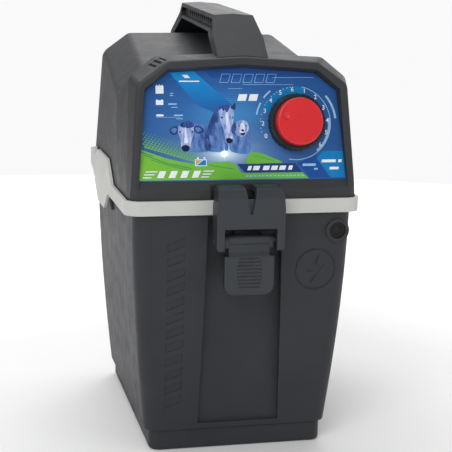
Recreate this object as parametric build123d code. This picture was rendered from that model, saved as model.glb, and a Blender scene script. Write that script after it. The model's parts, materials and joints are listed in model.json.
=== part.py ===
from build123d import *
import math
import os

# Battery fence energizer: a tapered battery tub, a rim band with a rear hinge, a lift-up
# electronics head with a tilted control panel, a carry handle and a front draw latch.
# Millimetres. X right, Y to the back, Z up. Origin on the ground, in the middle of the base.

# ---------------------------------------------------------------- overall sizes
BAND_WIDTH = 200.0  # over the rim band
BAND_DEPTH = 253.0  # over the rim band, front to back
JOINT_HEIGHT = 218.8  # underside of the head when it is closed
HEAD_RISE = 115.8  # from the underside of the head to the front apex of its bezel
FRONT_LEAN = 0.148  # rearward lean of the bezel's front, per unit of height
HEAD_ROUND = 9.0  # rounding of the head's long edges
FRONT_ROUND = 3.5  # rounding round the bezel's front
HUMP_ROUND = 14.0
REAR_ROUND = 5.0

# ---------------------------------------------------------------- walls and clearances
WALL = 3.0  # moulded walls of tub and head
BAND_WALL = 2.5
MOVE_GAP = 0.8  # between mouldings that move past each other
SEAT_GAP = 0.3  # between faces that meet when the head is closed
FIT_GAP = 0.1  # between pieces fixed to each other
PIN_GAP = 0.05  # radial clearance of a pin or shaft that turns in its hole
REST_GAP = 0.02  # between flat faces that rest on each other
PAST = 5.0  # how far a cutting form reaches past what it cuts

# ---------------------------------------------------------------- tub
TUB_TOP = JOINT_HEIGHT - 4.8
TUB_CORNER = 12.0
TUB_OVERHANG = 6.7  # band beyond the tub at each side
TUB_FRONT_OVERHANG = 3.0  # band beyond the tub at the front
TUB_REAR_OVERHANG = 5.5
FOOT_HEIGHT = 18.3
FOOT_STEP = 4.0
FLOOR = 3.5
# fall of each wall from the tub's rim, at shares of the tub's height: side, front, rear
TUB_SHAPE = ((0.0, 15.0, 14.6, 2.0), (0.41, 6.3, 6.6, 1.4), (0.67, 2.4, 2.6, 0.8), (1.0, 0.0, 0.0, 0.0))
CHANNEL_TOP_HALF = 31.0
CHANNEL_FOOT_HALF = 35.5
CHANNEL_TOP_DEPTH = 9.0
CHANNEL_FOOT_DEPTH = 2.0
CHANNEL_FOOT_RISE = 4.7  # lower end of the channel above the foot
DEBOSS = 0.8
EMBLEM_IN = 31.3  # middle of the round emblem, from the tub's side
EMBLEM_DOWN = 56.0  # and below the tub's rim
EMBLEM_R = 18.2
EMBLEM_LINE = 1.8
BARS = 12
BAR_IN = 28.3
BAR_WIDE = 15.0
BAR_HIGH = 7.0
BAR_SLANT = 5.0
BAR_PITCH = 12.5
PORT_X = BAND_WIDTH / 2 - 20.0
PORT_BELOW_RIM = 22.8
PORT_BORE = 7.0
PORT_COLLAR = 10.0
SIDE_BOSS = (2.0, JOINT_HEIGHT - 23.5)
SIDE_BOSS_R = 5.0
RIB_HEIGHT = 8.0
RIB_THICK = 2.5
SIDE_RIBS = (-60.0, 0.0, 60.0)
SIDE_RIB_HALF = 14.0
END_RIBS = (-35.0, 35.0)
END_RIB_HALF = 12.0
FOOT_CORNER = 9.0
FOOT_ROUND = 2.5
LEDGE_RISE = 7.7  # inner ledge where the tub's wall meets its foot, above the foot's height
COLLAR_OUT = 1.2
BATTERY_LENGTH = 190.0
BATTERY_WIDTH = 125.0
BATTERY_ROOM = 4.0

# ---------------------------------------------------------------- rim band
BAND_CORNER = 13.0
BAND_BOTTOM = JOINT_HEIGHT - 11.6
BAND_TOP = JOINT_HEIGHT + 0.4
SEAT = JOINT_HEIGHT - 1.8  # seat of the seal
SEAL_THICK = 1.8 - SEAT_GAP
SEAL_WIDTH = 4.0
WING_TOP = BAND_TOP + 19.2
WING_BOTTOM = BAND_BOTTOM - 17.2
WING_END_IN = 48.5  # upper rear end of a wing in front of the band's rear
REAR_RAIL_BOTTOM = BAND_TOP + 0.6
REAR_RAIL_TOP = REAR_RAIL_BOTTOM + 13.2

# ---------------------------------------------------------------- hinge
HINGE_UP = 17.2  # hinge line above the underside of the head
HINGE_BACK = 7.0  # hinge line behind the band
HINGE_X = 55.0
HINGE_R = 5.5
HINGE_PIN_R = 2.0
KNUCKLE = 16.0  # length of the head's knuckle
KNUCKLE_SIDE = 8.0  # length of each of the band's knuckles
KNUCKLE_GAP = 0.4
PIN_HEAD = 1.5
PIN_HEAD_OVER = 1.2

# ---------------------------------------------------------------- control panel
PANEL_TILT = math.degrees(0.2)
PANEL_FOOT_UP = 15.3  # lower edge of the panel above the underside of the head
PANEL_FOOT_IN = 9.0  # lower edge of the panel behind the band's front
PANEL_HALF = BAND_WIDTH / 2 - 11.7
PANEL_SHOULDER_HALF = PANEL_HALF - 7.3
PANEL_SHOULDER = 73.9
PANEL_TOP_HALF = PANEL_HALF - 26.2
PANEL_TOP = 89.0
PANEL_APEX = 93.0
PANEL_THICK = 1.5
SILL_FALL = 41.0  # fall of the sill over its depth in front of the panel
SILL_DEPTH = 16.0
KNOB_X = PANEL_HALF - 43.5
KNOB_V = 47.2
LED_X = -16.6
LED_V = 22.2
LED_R = 2.5
VENTS = 3
VENT_IN = 30.7  # first vent, from the head's side
VENT_PITCH = 4.2
VENT_TURN = 28.0
VENT_WIDE = 1.8
VENT_LONG = 9.0
VENT_DEEP = 16.0

# ---------------------------------------------------------------- knob and switch
KNOB_SKIRT_R = 23.7
KNOB_CAP_R = 19.7
KNOB_SKIRT_TOP = 9.5
KNOB_CAP_TOP = 17.0
KNOB_LIFT = 0.8
KNOB_POCKET_R = 10.0
KNOB_POCKET = 6.5
SHAFT_R = 3.0
BUSH_R = 4.75
BUSH_OUT = 4.5
SWITCH_R = 14.0
SWITCH_DEEP = 18.0
SWITCH_NUT_R = 7.5
SWITCH_NUT = 2.5
FLUTES = 30
FLUTE_R = 1.2
SKIRT_CHAMFER = 1.6
CAP_ROUND = 2.0
DIMPLE_R = 5.0
DIMPLE_DEEP = 1.8
DIMPLE_IN = 6.7  # dimple from the rim of the cap
SWITCH_LUGS = 12
POINTER_ANGLE = 159.0

# ---------------------------------------------------------------- carry handle
HANDLE_FOOT_HALF = 21.3
HANDLE_GRIP_HALF = 17.2
HANDLE_KNEE_UP = 131.0  # where the legs start to narrow, above the underside of the head
HANDLE_TOP_UP = 158.7  # rear end of the grip above the underside of the head
HANDLE_FRONT_UP = 150.0
HANDLE_SKIN = 3.5
HANDLE_WEB_HALF = 13.0
HANDLE_DEEP = 14.0
HANDLE_RIDGE = 0.07
HANDLE_SCREW_R = 2.0
HANDLE_SCREW = 11.0
HANDLE_SCREW_X = 8.0
HANDLE_FRONT_IN = 60.5  # front end of the grip behind the band's front
HANDLE_REAR_IN = 51.5  # rear end of the grip in front of the band's rear
LATTICE_PITCH = 9.0
LATTICE_HOLE = 4.8
LATTICE_END = 12.0  # first diamond behind the grip's front end

# ---------------------------------------------------------------- draw latch
LEVER_PIVOT_IN = 4.5  # lever pivot behind the band's front
LEVER_PIVOT_DOWN = 22.8  # lever pivot below the underside of the head
CLASP_PIVOT_OUT = 12.0  # clasp pivot in front of the lever pivot
CLASP_PIVOT_DOWN = 9.0
CLASP_HALF = 28.5
CLASP_OUT = 18.0  # face of the clasp in front of the band
CLASP_WALL = 4.0
CLASP_CHEEK = 3.0
CLASP_ROUND = 5.5  # upper corners
CLASP_FLARE = 1.6
CLASP_TOP_UP = 13.2
HOOK_UNDER_UP = 8.0
HOOK_REACH = 6.1  # hook behind the band's front
LEG_HALF_GAP = 22.0
LEVER_HALF = 20.8
LEVER_DOWN = 54.0  # lower end of the lever below the lever pivot
LEVER_ARM_HALF = 11.5
EAR_THICK = 4.5
EAR_GAP = 0.5
EAR_ROOT = 9.0  # half height of an ear at the tub
TAB_CORNER = 9.0
TAB_RISE = 7.0  # face of the tab in front of the clasp pivot
RIDGES = 9
RIDGE_PITCH = 3.0
RIDGE_WIDE = 1.3
RIDGE_DEEP = 0.7
GROOVE_DEEP = 2.6
GROOVE_DOWN = 22.0
NOSE_ROUND = 9.0
LEG_ROUND = 2.5
LATCH_PIN_R = 2.0
LATCH_EYE_R = 4.8

# ---------------------------------------------------------------- inside the head
PLATE_UP = 17.2  # base plate above the underside of the head
PLATE_THICK = 3.0
BOARD_UP = 10.0
BOARD_THICK = 1.6
BOARD_WIDTH = 150.0
BOARD_DEPTH = BAND_DEPTH - 143.0
BOARD_IN = 31.5  # front edge of the board behind the band's front
BOARD_SCREW_IN = 6.0
BOARD_SCREW_R = 1.4
POWER_IN = 64.5  # transformer and storage capacitor in front of the band's rear
CORE_X = -38.0
CORE_HALF = 33.0
CORE_DEEP_HALF = 18.0
CORE_HIGH = 55.0
CORE_LIMB = 11.0  # width of the outer limbs and half width of the middle one
COIL_OVER = 10.0  # coil in front of and behind the core
CAN_R = 22.0
CAN_X = (12.0, 72.0)
POWER_ROW_IN = 45.0  # thyristor in front of the board's rear edge
SINK_X = (-68.0, -38.0)
SINK_BACK = 3.0
SINK_FIN = 1.5
SINK_PITCH = 5.4
SINK_DEEP = 16.0
SINK_HIGH = 28.0
SINK_FINS = 6
THYRISTOR_X = (-58.0, -48.0)
THYRISTOR_DEEP = 4.5
BLOCK_X = (-20.0, 4.0)
BLOCK_DEEP = 12.0
BLOCK_HIGH = 12.0
SCREW_R = 1.9
SCREW_HEAD_R = 3.6
SCREW_HEAD = 2.4
SLOT_WIDE = 0.9
SLOT_DEEP = 1.2
POST_R = 5.0
POST_HIGH = 26.0
POST_IN = 8.5  # middle of a post from the head's side
PLATE_SCREW = 14.0
PLATE_CORNER = 12.0
BOARD_POST_R = 3.5
BOARD_SCREW = 8.0

# ---------------------------------------------------------------- terminals
TERMINAL_X = 42.0
TERMINAL_UP = 71.0
STUD_R = 3.0
TERMINAL_FLANGE_R = 12.0
TERMINAL_NECK_R = 8.0
TERMINAL_FLANGE = 7.0
TERMINAL_KNOB_R = 11.0
TERMINAL_KNOB = 12.0
TERMINAL_LUG_ROOM = 4.0
STUD_END = 8.0  # plain pin past the thumb nut
STUD_END_R = 2.4
STUD_IN = 14.0  # inner end of the stud behind the head's wall
STUD_NUT_R = 6.0
STUD_NUT = 4.5
TERMINAL_FLUTES = 10
TERMINAL_FLUTE_R = 2.2

# ---------------------------------------------------------------- derived places
BAND_HALF = BAND_WIDTH / 2
FRONT = -BAND_DEPTH / 2
REAR = BAND_DEPTH / 2
TUB_HALF = BAND_HALF - TUB_OVERHANG
TUB_FRONT = FRONT + TUB_FRONT_OVERHANG
TUB_REAR = REAR - TUB_REAR_OVERHANG
HINGE_Y = REAR + HINGE_BACK
HINGE_Z = JOINT_HEIGHT + HINGE_UP
HEAD_HALF = BAND_HALF - BAND_WALL - MOVE_GAP
HEAD_FRONT = FRONT + BAND_WALL + MOVE_GAP
HEAD_REAR = REAR - BAND_WALL - 1.0
GRIP_FRONT = FRONT + HANDLE_FRONT_IN
GRIP_REAR = REAR - HANDLE_REAR_IN
PANEL_Z = JOINT_HEIGHT + PANEL_FOOT_UP
PANEL_Y = FRONT + PANEL_FOOT_IN
PLATE_Z = JOINT_HEIGHT + PLATE_UP
PLATE_TOP = PLATE_Z + PLATE_THICK
LEVER_Y = FRONT + LEVER_PIVOT_IN
LEVER_Z = JOINT_HEIGHT - LEVER_PIVOT_DOWN
CLASP_Y = LEVER_Y - CLASP_PIVOT_OUT
CLASP_Z = LEVER_Z - CLASP_PIVOT_DOWN
CLASP_FACE = FRONT - CLASP_OUT
TILT = math.radians(PANEL_TILT)
PANEL_NORMAL = (0, -math.cos(TILT), math.sin(TILT))
PANEL_PLANE = Plane(origin=(0, PANEL_Y, PANEL_Z), x_dir=(1, 0, 0), z_dir=PANEL_NORMAL)
KNOB_MIDDLE = PANEL_PLANE.from_local_coords((KNOB_X, KNOB_V, 0))
KNOB_PLANE = Plane(origin=KNOB_MIDDLE, x_dir=(1, 0, 0), z_dir=PANEL_NORMAL)


# ---------------------------------------------------------------- helpers
def slab(half, front, rear, corner, z):
    """A rounded rectangle lying at height z."""
    return Pos(0, (front + rear) / 2, z) * RectangleRounded(2 * half, rear - front, corner)


def ring(outer, inner, z0, z1):
    """A rounded rectangular ring between two heights; outer and inner are (half, front, rear, corner)."""
    return extrude(slab(*outer, z0), amount=z1 - z0) - extrude(slab(*inner, z0), amount=z1 - z0)


def side_prism(points, x0, x1):
    """A (Y, Z) outline carried along X from x0 to x1."""
    return extrude(Plane.YZ.offset(x0) * Polygon(*points, align=None), amount=x1 - x0, dir=(1, 0, 0))


def front_prism(points, y0, y1):
    """An (X, Z) outline carried along Y from y0 to y1."""
    outline = Plane(origin=(0, y0, 0), x_dir=(1, 0, 0), z_dir=(0, -1, 0)) * Polygon(*points, align=None)
    return extrude(outline, amount=y1 - y0, dir=(0, 1, 0))


def block(x0, x1, y0, y1, z0, z1):
    return Pos((x0 + x1) / 2, (y0 + y1) / 2, (z0 + z1) / 2) * Box(x1 - x0, y1 - y0, z1 - z0)


def rod(start, end, radius):
    """A round bar from one point to another."""
    run = Vector(*end) - Vector(*start)
    return extrude(Plane(origin=start, z_dir=run) * Circle(radius), amount=run.length)


def mirrored(shape):
    return mirror(shape, about=Plane.YZ)


def one(shape):
    """The single solid of a shape."""
    return shape.solids().sort_by(lambda s: s.volume)[-1]


def group(shapes):
    """Separate solids as one compound."""
    return Compound(children=[solid for shape in shapes for solid in shape.solids()])


def screw(head_point, direction, radius, length):
    """A pan-head screw whose head stands out from head_point, against direction."""
    start = Vector(*head_point)
    way = Vector(*direction).normalized()
    outer = tuple(start - way * SCREW_HEAD)
    shank = rod(tuple(start - way * 0.2), tuple(start + way * length), radius)
    head = rod(tuple(start), outer, SCREW_HEAD_R)
    top = head.faces().sort_by(Axis(tuple(start), tuple(-way)))[-1]
    head = fillet(top.edges(), SCREW_HEAD * 0.4)
    slot_long = SCREW_HEAD_R * 1.2
    slot = Plane(origin=outer, z_dir=way) * Rectangle(slot_long, SLOT_WIDE)
    cross = Plane(origin=outer, z_dir=way) * Rectangle(SLOT_WIDE, slot_long)
    return one(shank + head - extrude(slot, amount=SLOT_DEEP) - extrude(cross, amount=SLOT_DEEP))


# ---------------------------------------------------------------- tub
def tub_fall(share):
    """How far side, front and rear walls have fallen in at a share of the tub's height."""
    low, high = next(pair for pair in zip(TUB_SHAPE, TUB_SHAPE[1:]) if share <= pair[1][0])
    part = (share - low[0]) / (high[0] - low[0])
    return [a + (b - a) * part for a, b in zip(low[1:], high[1:])]


def tub_section(share, inset):
    """The tub's outline at a share of its height, moved inwards by inset."""
    side, front, rear = tub_fall(share)
    corner = max(TUB_CORNER - inset, 2.0)
    z = share * TUB_TOP
    return slab(TUB_HALF - side - inset, TUB_FRONT + front + inset, TUB_REAR - rear - inset, corner, z)


def tub_body(inset, lowest):
    """The tub's tapered, slightly bulging form from a lowest height to the rim."""
    start = lowest / TUB_TOP
    shares = [start] + [row[0] for row in TUB_SHAPE if row[0] > start + 0.02]
    return loft([tub_section(share, inset) for share in shares])


def channel_face(z, inset):
    """Y of the channel's floor at height z."""
    share = z / TUB_TOP
    top = TUB_FRONT + CHANNEL_TOP_DEPTH + inset
    foot = TUB_FRONT + TUB_SHAPE[0][2] + CHANNEL_FOOT_DEPTH + inset
    return foot + (top - foot) * share


def channel_form(inset):
    """The space of the front channel, or with an inset the wall behind it."""
    foot = FOOT_HEIGHT + CHANNEL_FOOT_RISE - inset
    top = TUB_TOP + PAST
    clear = FRONT - 30
    side = [(clear, foot), (channel_face(foot, inset), foot), (channel_face(top, inset), top), (clear, top)]
    half_foot = CHANNEL_FOOT_HALF + inset
    half_top = CHANNEL_TOP_HALF + inset
    face = [(-half_foot, foot), (half_foot, foot), (half_top, top), (-half_top, top)]
    return side_prism(side, -TUB_HALF, TUB_HALF) & front_prism(face, clear, 0)


def emblem_cutter():
    """A plain ring with a zigzag spark in it, and a column of plain bars, for shallow debossing."""
    near = FRONT - PAST
    far = TUB_FRONT + 20
    x0 = TUB_HALF - EMBLEM_IN
    z0 = TUB_TOP - EMBLEM_DOWN
    spark = [(3, 13), (-8, -2), (-1.5, -2), (-4, -13), (8, 3), (1, 3)]
    spark = front_prism([(x0 + x, z0 + z) for x, z in spark], near, far)
    circle = rod((x0, near, z0), (x0, far, z0), EMBLEM_R)
    circle -= rod((x0, near - 1, z0), (x0, far + 1, z0), EMBLEM_R - EMBLEM_LINE)
    bars = []
    left = BAR_IN - TUB_HALF
    right = left + BAR_WIDE
    for step in range(BARS):
        low = FOOT_HEIGHT + 20 + step * BAR_PITCH
        high = low + BAR_HIGH
        bar = [(left, low), (right, low + BAR_SLANT), (right, high + BAR_SLANT), (left, high)]
        bars.append(front_prism(bar, near, far))
    return [spark, circle] + bars


def battery_tub():
    outer = tub_body(0, FOOT_HEIGHT)
    side, front, rear = tub_fall(FOOT_HEIGHT / TUB_TOP)
    foot_half = TUB_HALF - side - FOOT_STEP
    foot_front = TUB_FRONT + front + FOOT_STEP / 2
    foot_rear = TUB_REAR - rear - FOOT_STEP / 2
    foot = extrude(slab(foot_half, foot_front, foot_rear, FOOT_CORNER, 0), amount=FOOT_HEIGHT + 0.01)
    foot = fillet(foot.faces().sort_by(Axis.Z)[0].edges(), FOOT_ROUND)
    ledge = FOOT_HEIGHT + LEDGE_RISE
    room_corner = FOOT_CORNER - 2
    lower_room = slab(foot_half - WALL, foot_front + WALL, foot_rear - WALL, room_corner, FLOOR)
    lower_room = extrude(lower_room, amount=ledge - FLOOR + 1)
    body = outer + foot + extrude(tub_section(1.0, 0), amount=0.01) - tub_body(WALL, ledge) - lower_room
    body -= extrude(tub_section(1.0, WALL), amount=1)
    body += channel_form(WALL) & outer & block(-TUB_HALF, TUB_HALF, FRONT, 0, ledge, TUB_TOP)
    body -= channel_form(0)
    core = tub_body(DEBOSS, FOOT_HEIGHT)
    for cutter in emblem_cutter():
        body -= cutter - core
    body = one(body) + lead_collar()
    body -= lead_bore()
    for rib in battery_ribs():
        body += rib
    for boss in side_bosses():
        body += boss - tub_body(WALL, ledge)
    for x0, x1 in ear_places():
        body += latch_ear(x0, x1)
        body -= rod((x0 - 1, LEVER_Y, LEVER_Z), (x1 + 1, LEVER_Y, LEVER_Z), LATCH_PIN_R + PIN_GAP)
    return one(body)


def lead_collar():
    """Raised collar round the lead port."""
    z = TUB_TOP - PORT_BELOW_RIM
    return rod((PORT_X, TUB_FRONT - COLLAR_OUT, z), (PORT_X, TUB_FRONT + 8, z), PORT_COLLAR)


def lead_bore():
    z = TUB_TOP - PORT_BELOW_RIM
    return rod((PORT_X, FRONT - PAST, z), (PORT_X, TUB_FRONT + 20, z), PORT_BORE)


def battery_ribs():
    """Ribs on the floor that keep the battery in place."""
    half_x = (BATTERY_WIDTH + BATTERY_ROOM) / 2
    half_y = (BATTERY_LENGTH + BATTERY_ROOM) / 2
    low = FLOOR - 0.5
    high = FLOOR + RIB_HEIGHT
    ribs = []
    for y in SIDE_RIBS:
        rib = block(half_x, half_x + RIB_THICK, y - SIDE_RIB_HALF, y + SIDE_RIB_HALF, low, high)
        ribs += [rib, mirrored(rib)]
    for x in END_RIBS:
        rib = block(x - END_RIB_HALF, x + END_RIB_HALF, half_y, half_y + RIB_THICK, low, high)
        ribs += [rib, mirror(rib, about=Plane.XZ)]
    return ribs


def side_bosses():
    """A ringed boss on each side, just in front of the band's wing."""
    y, z = SIDE_BOSS
    inside = TUB_HALF - 6
    boss = rod((inside, y, z), (TUB_HALF + 1.6, y, z), SIDE_BOSS_R)
    boss -= rod((TUB_HALF + 0.4, y, z), (TUB_HALF + 4, y, z), SIDE_BOSS_R - 1.4)
    boss += rod((inside, y, z), (TUB_HALF + 1.2, y, z), SIDE_BOSS_R - 3.0)
    return [boss, mirrored(boss)]


def latch_ear(x0, x1):
    """One of the two ears that carry the latch lever."""
    back = channel_face(LEVER_Z, 0) + 1.5
    outline = [(LEVER_Y, LEVER_Z - LATCH_EYE_R), (back, LEVER_Z - EAR_ROOT), (back, LEVER_Z + EAR_ROOT),
               (LEVER_Y, LEVER_Z + LATCH_EYE_R)]
    return side_prism(outline, x0, x1) + rod((x0, LEVER_Y, LEVER_Z), (x1, LEVER_Y, LEVER_Z), LATCH_EYE_R)


def ear_places():
    inner = LEVER_ARM_HALF + EAR_GAP
    return ((-inner - EAR_THICK, -inner), (inner, inner + EAR_THICK))


def lead_port_plug():
    """Soft plug that closes the lead port when no lead passes through it."""
    z = TUB_TOP - PORT_BELOW_RIM
    face = TUB_FRONT + 1.5
    body = rod((PORT_X, face, z), (PORT_X, TUB_FRONT + WALL + 6, z), PORT_BORE - FIT_GAP)
    body -= rod((PORT_X, face - 0.1, z), (PORT_X, face + 1.5, z), PORT_BORE - 2.5)
    return one(body)


# ---------------------------------------------------------------- rim band, seal and hinge
def wing_outline():
    """Side view of the band: low at the front, a deep wing at the side, a raised rail at the rear."""
    start = REAR - 138.5
    return [
        (FRONT - 5, BAND_BOTTOM), (start, BAND_BOTTOM), (REAR - 111.5, WING_BOTTOM), (REAR - 68, WING_BOTTOM),
        (REAR - 50, WING_BOTTOM + 10.5), (REAR - 34.5, BAND_BOTTOM + 6), (REAR - 6, REAR_RAIL_BOTTOM),
        (REAR + 5, REAR_RAIL_BOTTOM), (REAR + 5, REAR_RAIL_TOP), (REAR - 8, REAR_RAIL_TOP),
        (REAR - 43.5, WING_TOP), (REAR - WING_END_IN, WING_TOP - 6.5), (REAR - 66, WING_TOP),
        (start + 4, WING_TOP), (start - 24, BAND_TOP), (FRONT - 5, BAND_TOP),
    ]


def rim_band():
    outer = (BAND_HALF, FRONT, REAR, BAND_CORNER)
    inner = (BAND_HALF - BAND_WALL, FRONT + BAND_WALL, REAR - BAND_WALL, BAND_CORNER - BAND_WALL)
    low = WING_BOTTOM - 1
    skirt = ring(outer, inner, low, WING_TOP + 1) & side_prism(wing_outline(), -BAND_HALF - 5, BAND_HALF + 5)
    rear_in = REAR - BAND_WALL - 1.5
    web_low = BAND_BOTTOM + 2
    web = slab(BAND_HALF - BAND_WALL + 0.01, FRONT + BAND_WALL - 0.01, rear_in, BAND_CORNER, web_low)
    web = extrude(web, amount=SEAT - web_low)
    # behind the wings the web keeps to the tub, so that the lower edge of the band can rise
    wing_end = REAR - WING_END_IN
    web -= block(-BAND_HALF, -TUB_HALF - 2, wing_end, REAR, low, SEAT)
    web -= block(TUB_HALF + 2, BAND_HALF, wing_end, REAR, low, SEAT)
    web -= extrude(tub_section(1.0, -FIT_GAP), amount=-(TUB_TOP - low)).moved(Location((0, 0, FIT_GAP)))
    web -= extrude(tub_section(1.0, WALL), amount=TUB_TOP)
    notch = block(-CHANNEL_TOP_HALF, CHANNEL_TOP_HALF, FRONT, TUB_FRONT + 1, low, BAND_BOTTOM + 2.5)
    web -= notch - outer_guard()
    band = skirt + web
    for x in (-HINGE_X, HINGE_X):
        for start in (x - KNUCKLE / 2 - KNUCKLE_GAP - KNUCKLE_SIDE, x + KNUCKLE / 2 + KNUCKLE_GAP):
            band += band_knuckle(start)
            band -= hinge_bore(start, KNUCKLE_SIDE)
    return one(band)


def band_knuckle(start):
    """A knuckle behind the band's rear rail, on an arm that reaches out from the rail."""
    end = start + KNUCKLE_SIDE
    back = HINGE_Y + HINGE_R
    arm = [(REAR - 1, REAR_RAIL_BOTTOM + 2), (back, HINGE_Z - 1), (back, HINGE_Z),
           (HINGE_Y - HINGE_R, HINGE_Z), (REAR - 1, REAR_RAIL_TOP)]
    return side_prism(arm, start, end) + rod((start, HINGE_Y, HINGE_Z), (end, HINGE_Y, HINGE_Z), HINGE_R)


def hinge_bore(start, length):
    """The hole for the hinge pin through a knuckle."""
    bore = HINGE_PIN_R + PIN_GAP
    return rod((start - 1, HINGE_Y, HINGE_Z), (start + length + 1, HINGE_Y, HINGE_Z), bore)


def outer_guard():
    """The band's own front wall, which the channel does not cut."""
    return block(-BAND_HALF, BAND_HALF, FRONT - 1, FRONT + BAND_WALL, 0, WING_TOP)


def rim_seal():
    """Foam strip on the band's seat, all the way round."""
    half = HEAD_HALF - 0.6
    front = HEAD_FRONT + 0.6
    rear = HEAD_REAR - 0.6
    corner = BAND_CORNER - BAND_WALL - 2
    outer = (half, front, rear, corner)
    inner = (half - SEAL_WIDTH, front + SEAL_WIDTH, rear - SEAL_WIDTH, corner - SEAL_WIDTH)
    return one(ring(outer, inner, SEAT, SEAT + SEAL_THICK))


def hinge_pins():
    pins = []
    half = KNUCKLE / 2 + KNUCKLE_GAP + KNUCKLE_SIDE
    head = HINGE_PIN_R + PIN_HEAD_OVER
    for x in (-HINGE_X, HINGE_X):
        pin = rod((x - half, HINGE_Y, HINGE_Z), (x + half, HINGE_Y, HINGE_Z), HINGE_PIN_R)
        for side in (-1, 1):
            end = x + side * half
            pin += rod((end, HINGE_Y, HINGE_Z), (end + side * PIN_HEAD, HINGE_Y, HINGE_Z), head)
        pins.append(one(pin))
    return group(pins)


# ---------------------------------------------------------------- head
def head_rings():
    """Half outlines of the head, front to rear.

    Each holds Y at the underside, the lean of the section and (half width, height) points.
    """
    apex = HEAD_RISE
    lean = FRONT_LEAN
    wide = HEAD_HALF
    valley = FRONT + BAND_DEPTH * 0.275
    hump = FRONT + BAND_DEPTH * 0.776
    bezel = ((wide - 1.1, 0), (wide - 7.9, apex - 22.6), (wide - 34.2, apex - 4.3), (0, apex))
    brow = ((wide - 0.2, 0), (wide - 3.5, apex - 17.6), (wide - 25.2, apex - 0.4), (0, apex + 2.4))
    dip = ((wide, 0), (wide + 1.4, apex - 33.6), (wide - 20.7, apex - 11.6), (0, apex - 9.6))
    crown = ((wide, 0), (wide - 3.6, apex - 4.6), (wide - 27.0, apex + 12.9), (0, apex + 13.9))
    back = ((wide - 0.3, 0), (wide - 8.2, apex - 8.1), (wide - 33.0, apex + 11.2), (0, apex + 12.2))
    end = ((wide - 8, 0), (wide - 17.0, apex - 14.6), (wide - 40.0, apex + 4.2), (0, apex + 5.2))
    return (
        (HEAD_FRONT, lean, bezel), (HEAD_FRONT + 17, lean, brow), (valley, 0.0, dip),
        (hump, 0.0, crown), (HEAD_REAR - 10, 0.0, back), (HEAD_REAR, 0.0, end),
    )


def rounded_outline(corners, radii):
    """A closed outline through corners, each rounded by its radius (0 leaves it sharp)."""
    ends = []
    for i, (corner, radius) in enumerate(zip(corners, radii)):
        before = (corners[i - 1] - corner).normalized()
        after = (corners[(i + 1) % len(corners)] - corner).normalized()
        half = math.acos(max(-1.0, min(1.0, before.dot(after)))) / 2
        reach = radius / math.tan(half)
        middle = corner + (before + after).normalized() * (radius / math.sin(half) - radius)
        ends.append((corner + before * reach, middle, corner + after * reach))
    edges = []
    for i, (start, middle, end) in enumerate(ends):
        if radii[i]:
            edges.append(ThreePointArc(start, middle, end))
        edges.append(Line(end, ends[(i + 1) % len(ends)][0]))
    return make_face(Wire(edges))


def head_section(front, lean, points, inset, drop):
    """One closed outline of the head; inset thins it for the inside, drop lowers its bottom edge."""
    (foot, _), (shoulder, shoulder_z), (corner, corner_z), (_, apex_z) = points
    half = [
        (foot - inset, -drop),
        (shoulder - inset, shoulder_z - 0.5 * inset),
        (corner - 0.5 * inset, corner_z - inset),
        (0, apex_z - inset),
    ]
    full = half + [(-x, z) for x, z in reversed(half[:-1])]
    corners = [Vector(x, front + z * lean, JOINT_HEIGHT + z) for x, z in full]
    round_off = HEAD_ROUND - inset
    return rounded_outline(corners, (0, round_off, round_off, 0, round_off, round_off, 0))


def ring_edges(form, front, lean):
    """Edges of the head that lie in one of its sections, apart from the underside."""
    found = []
    for edge in form.edges():
        points = [edge @ share for share in (0, 0.5, 1)]
        off = max(abs(v.Y - front - (v.Z - JOINT_HEIGHT) * lean) for v in points)
        if off < 0.05 and points[1].Z > JOINT_HEIGHT + 1:
            found.append(edge)
    return found


def head_outer():
    """The head's full form, with its front corners rounded to follow the band's."""
    rows = head_rings()
    form = loft([head_section(*row, 0, 0) for row in rows], ruled=True)
    for row, radius in ((rows[5], REAR_ROUND), (rows[3], HUMP_ROUND), (rows[0], FRONT_ROUND)):
        form = fillet(ring_edges(form, row[0], row[1]), radius)
    spread = 1.5
    rounding = slab(HEAD_HALF + spread, HEAD_FRONT, REAR, BAND_CORNER - BAND_WALL + spread, JOINT_HEIGHT - 5)
    return form & extrude(rounding, amount=HEAD_RISE + 40)


def head_inner():
    """The room inside the head, behind the panel wall."""
    rows = list(head_rings())
    back_of_wall = PANEL_Y + PANEL_THICK + WALL - PANEL_FOOT_UP * math.tan(TILT)
    (_, _, first) = rows[0]
    rows[0] = (back_of_wall, math.tan(TILT), first)
    (_, _, second) = rows[1]
    rows[1] = (HEAD_FRONT + 21, FRONT_LEAN, second)
    rows[4] = (HEAD_REAR - 10, 0.0, rows[4][2])
    rows[5] = (HEAD_REAR - WALL, 0.0, rows[5][2])
    return loft([head_section(*row, WALL, 2.0) for row in rows], ruled=True)


def panel_outline(grow, foot_drop, away):
    """The panel's outline, grown outwards, on a plane parallel to the panel at a distance away from it."""
    half = [
        (PANEL_HALF + grow, -foot_drop),
        (PANEL_SHOULDER_HALF + grow, PANEL_SHOULDER + 0.5 * grow),
        (PANEL_TOP_HALF + 0.5 * grow, PANEL_TOP + grow),
        (0, PANEL_APEX + grow),
    ]
    full = half + [(-x, v) for x, v in reversed(half[:-1])]
    return make_face(Polyline(*[PANEL_PLANE.from_local_coords((x, v, away)) for x, v in full], close=True))


def panel_recess():
    """Room in front of the panel: the sill falls away to the front and the other sides open a little."""
    deep = PANEL_THICK + FIT_GAP
    pocket = extrude(panel_outline(FIT_GAP, FIT_GAP, 0), amount=-deep, dir=PANEL_NORMAL)
    mouth = panel_outline(3.5, SILL_FALL, SILL_DEPTH)
    return pocket + loft([panel_outline(FIT_GAP, FIT_GAP, 0), mouth], ruled=True)


def plate_screw_places():
    return [(sign * (HEAD_HALF - POST_IN), y) for sign in (-1, 1) for y in (FRONT + 42.5, 0.0, REAR - 38.5)]


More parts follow.
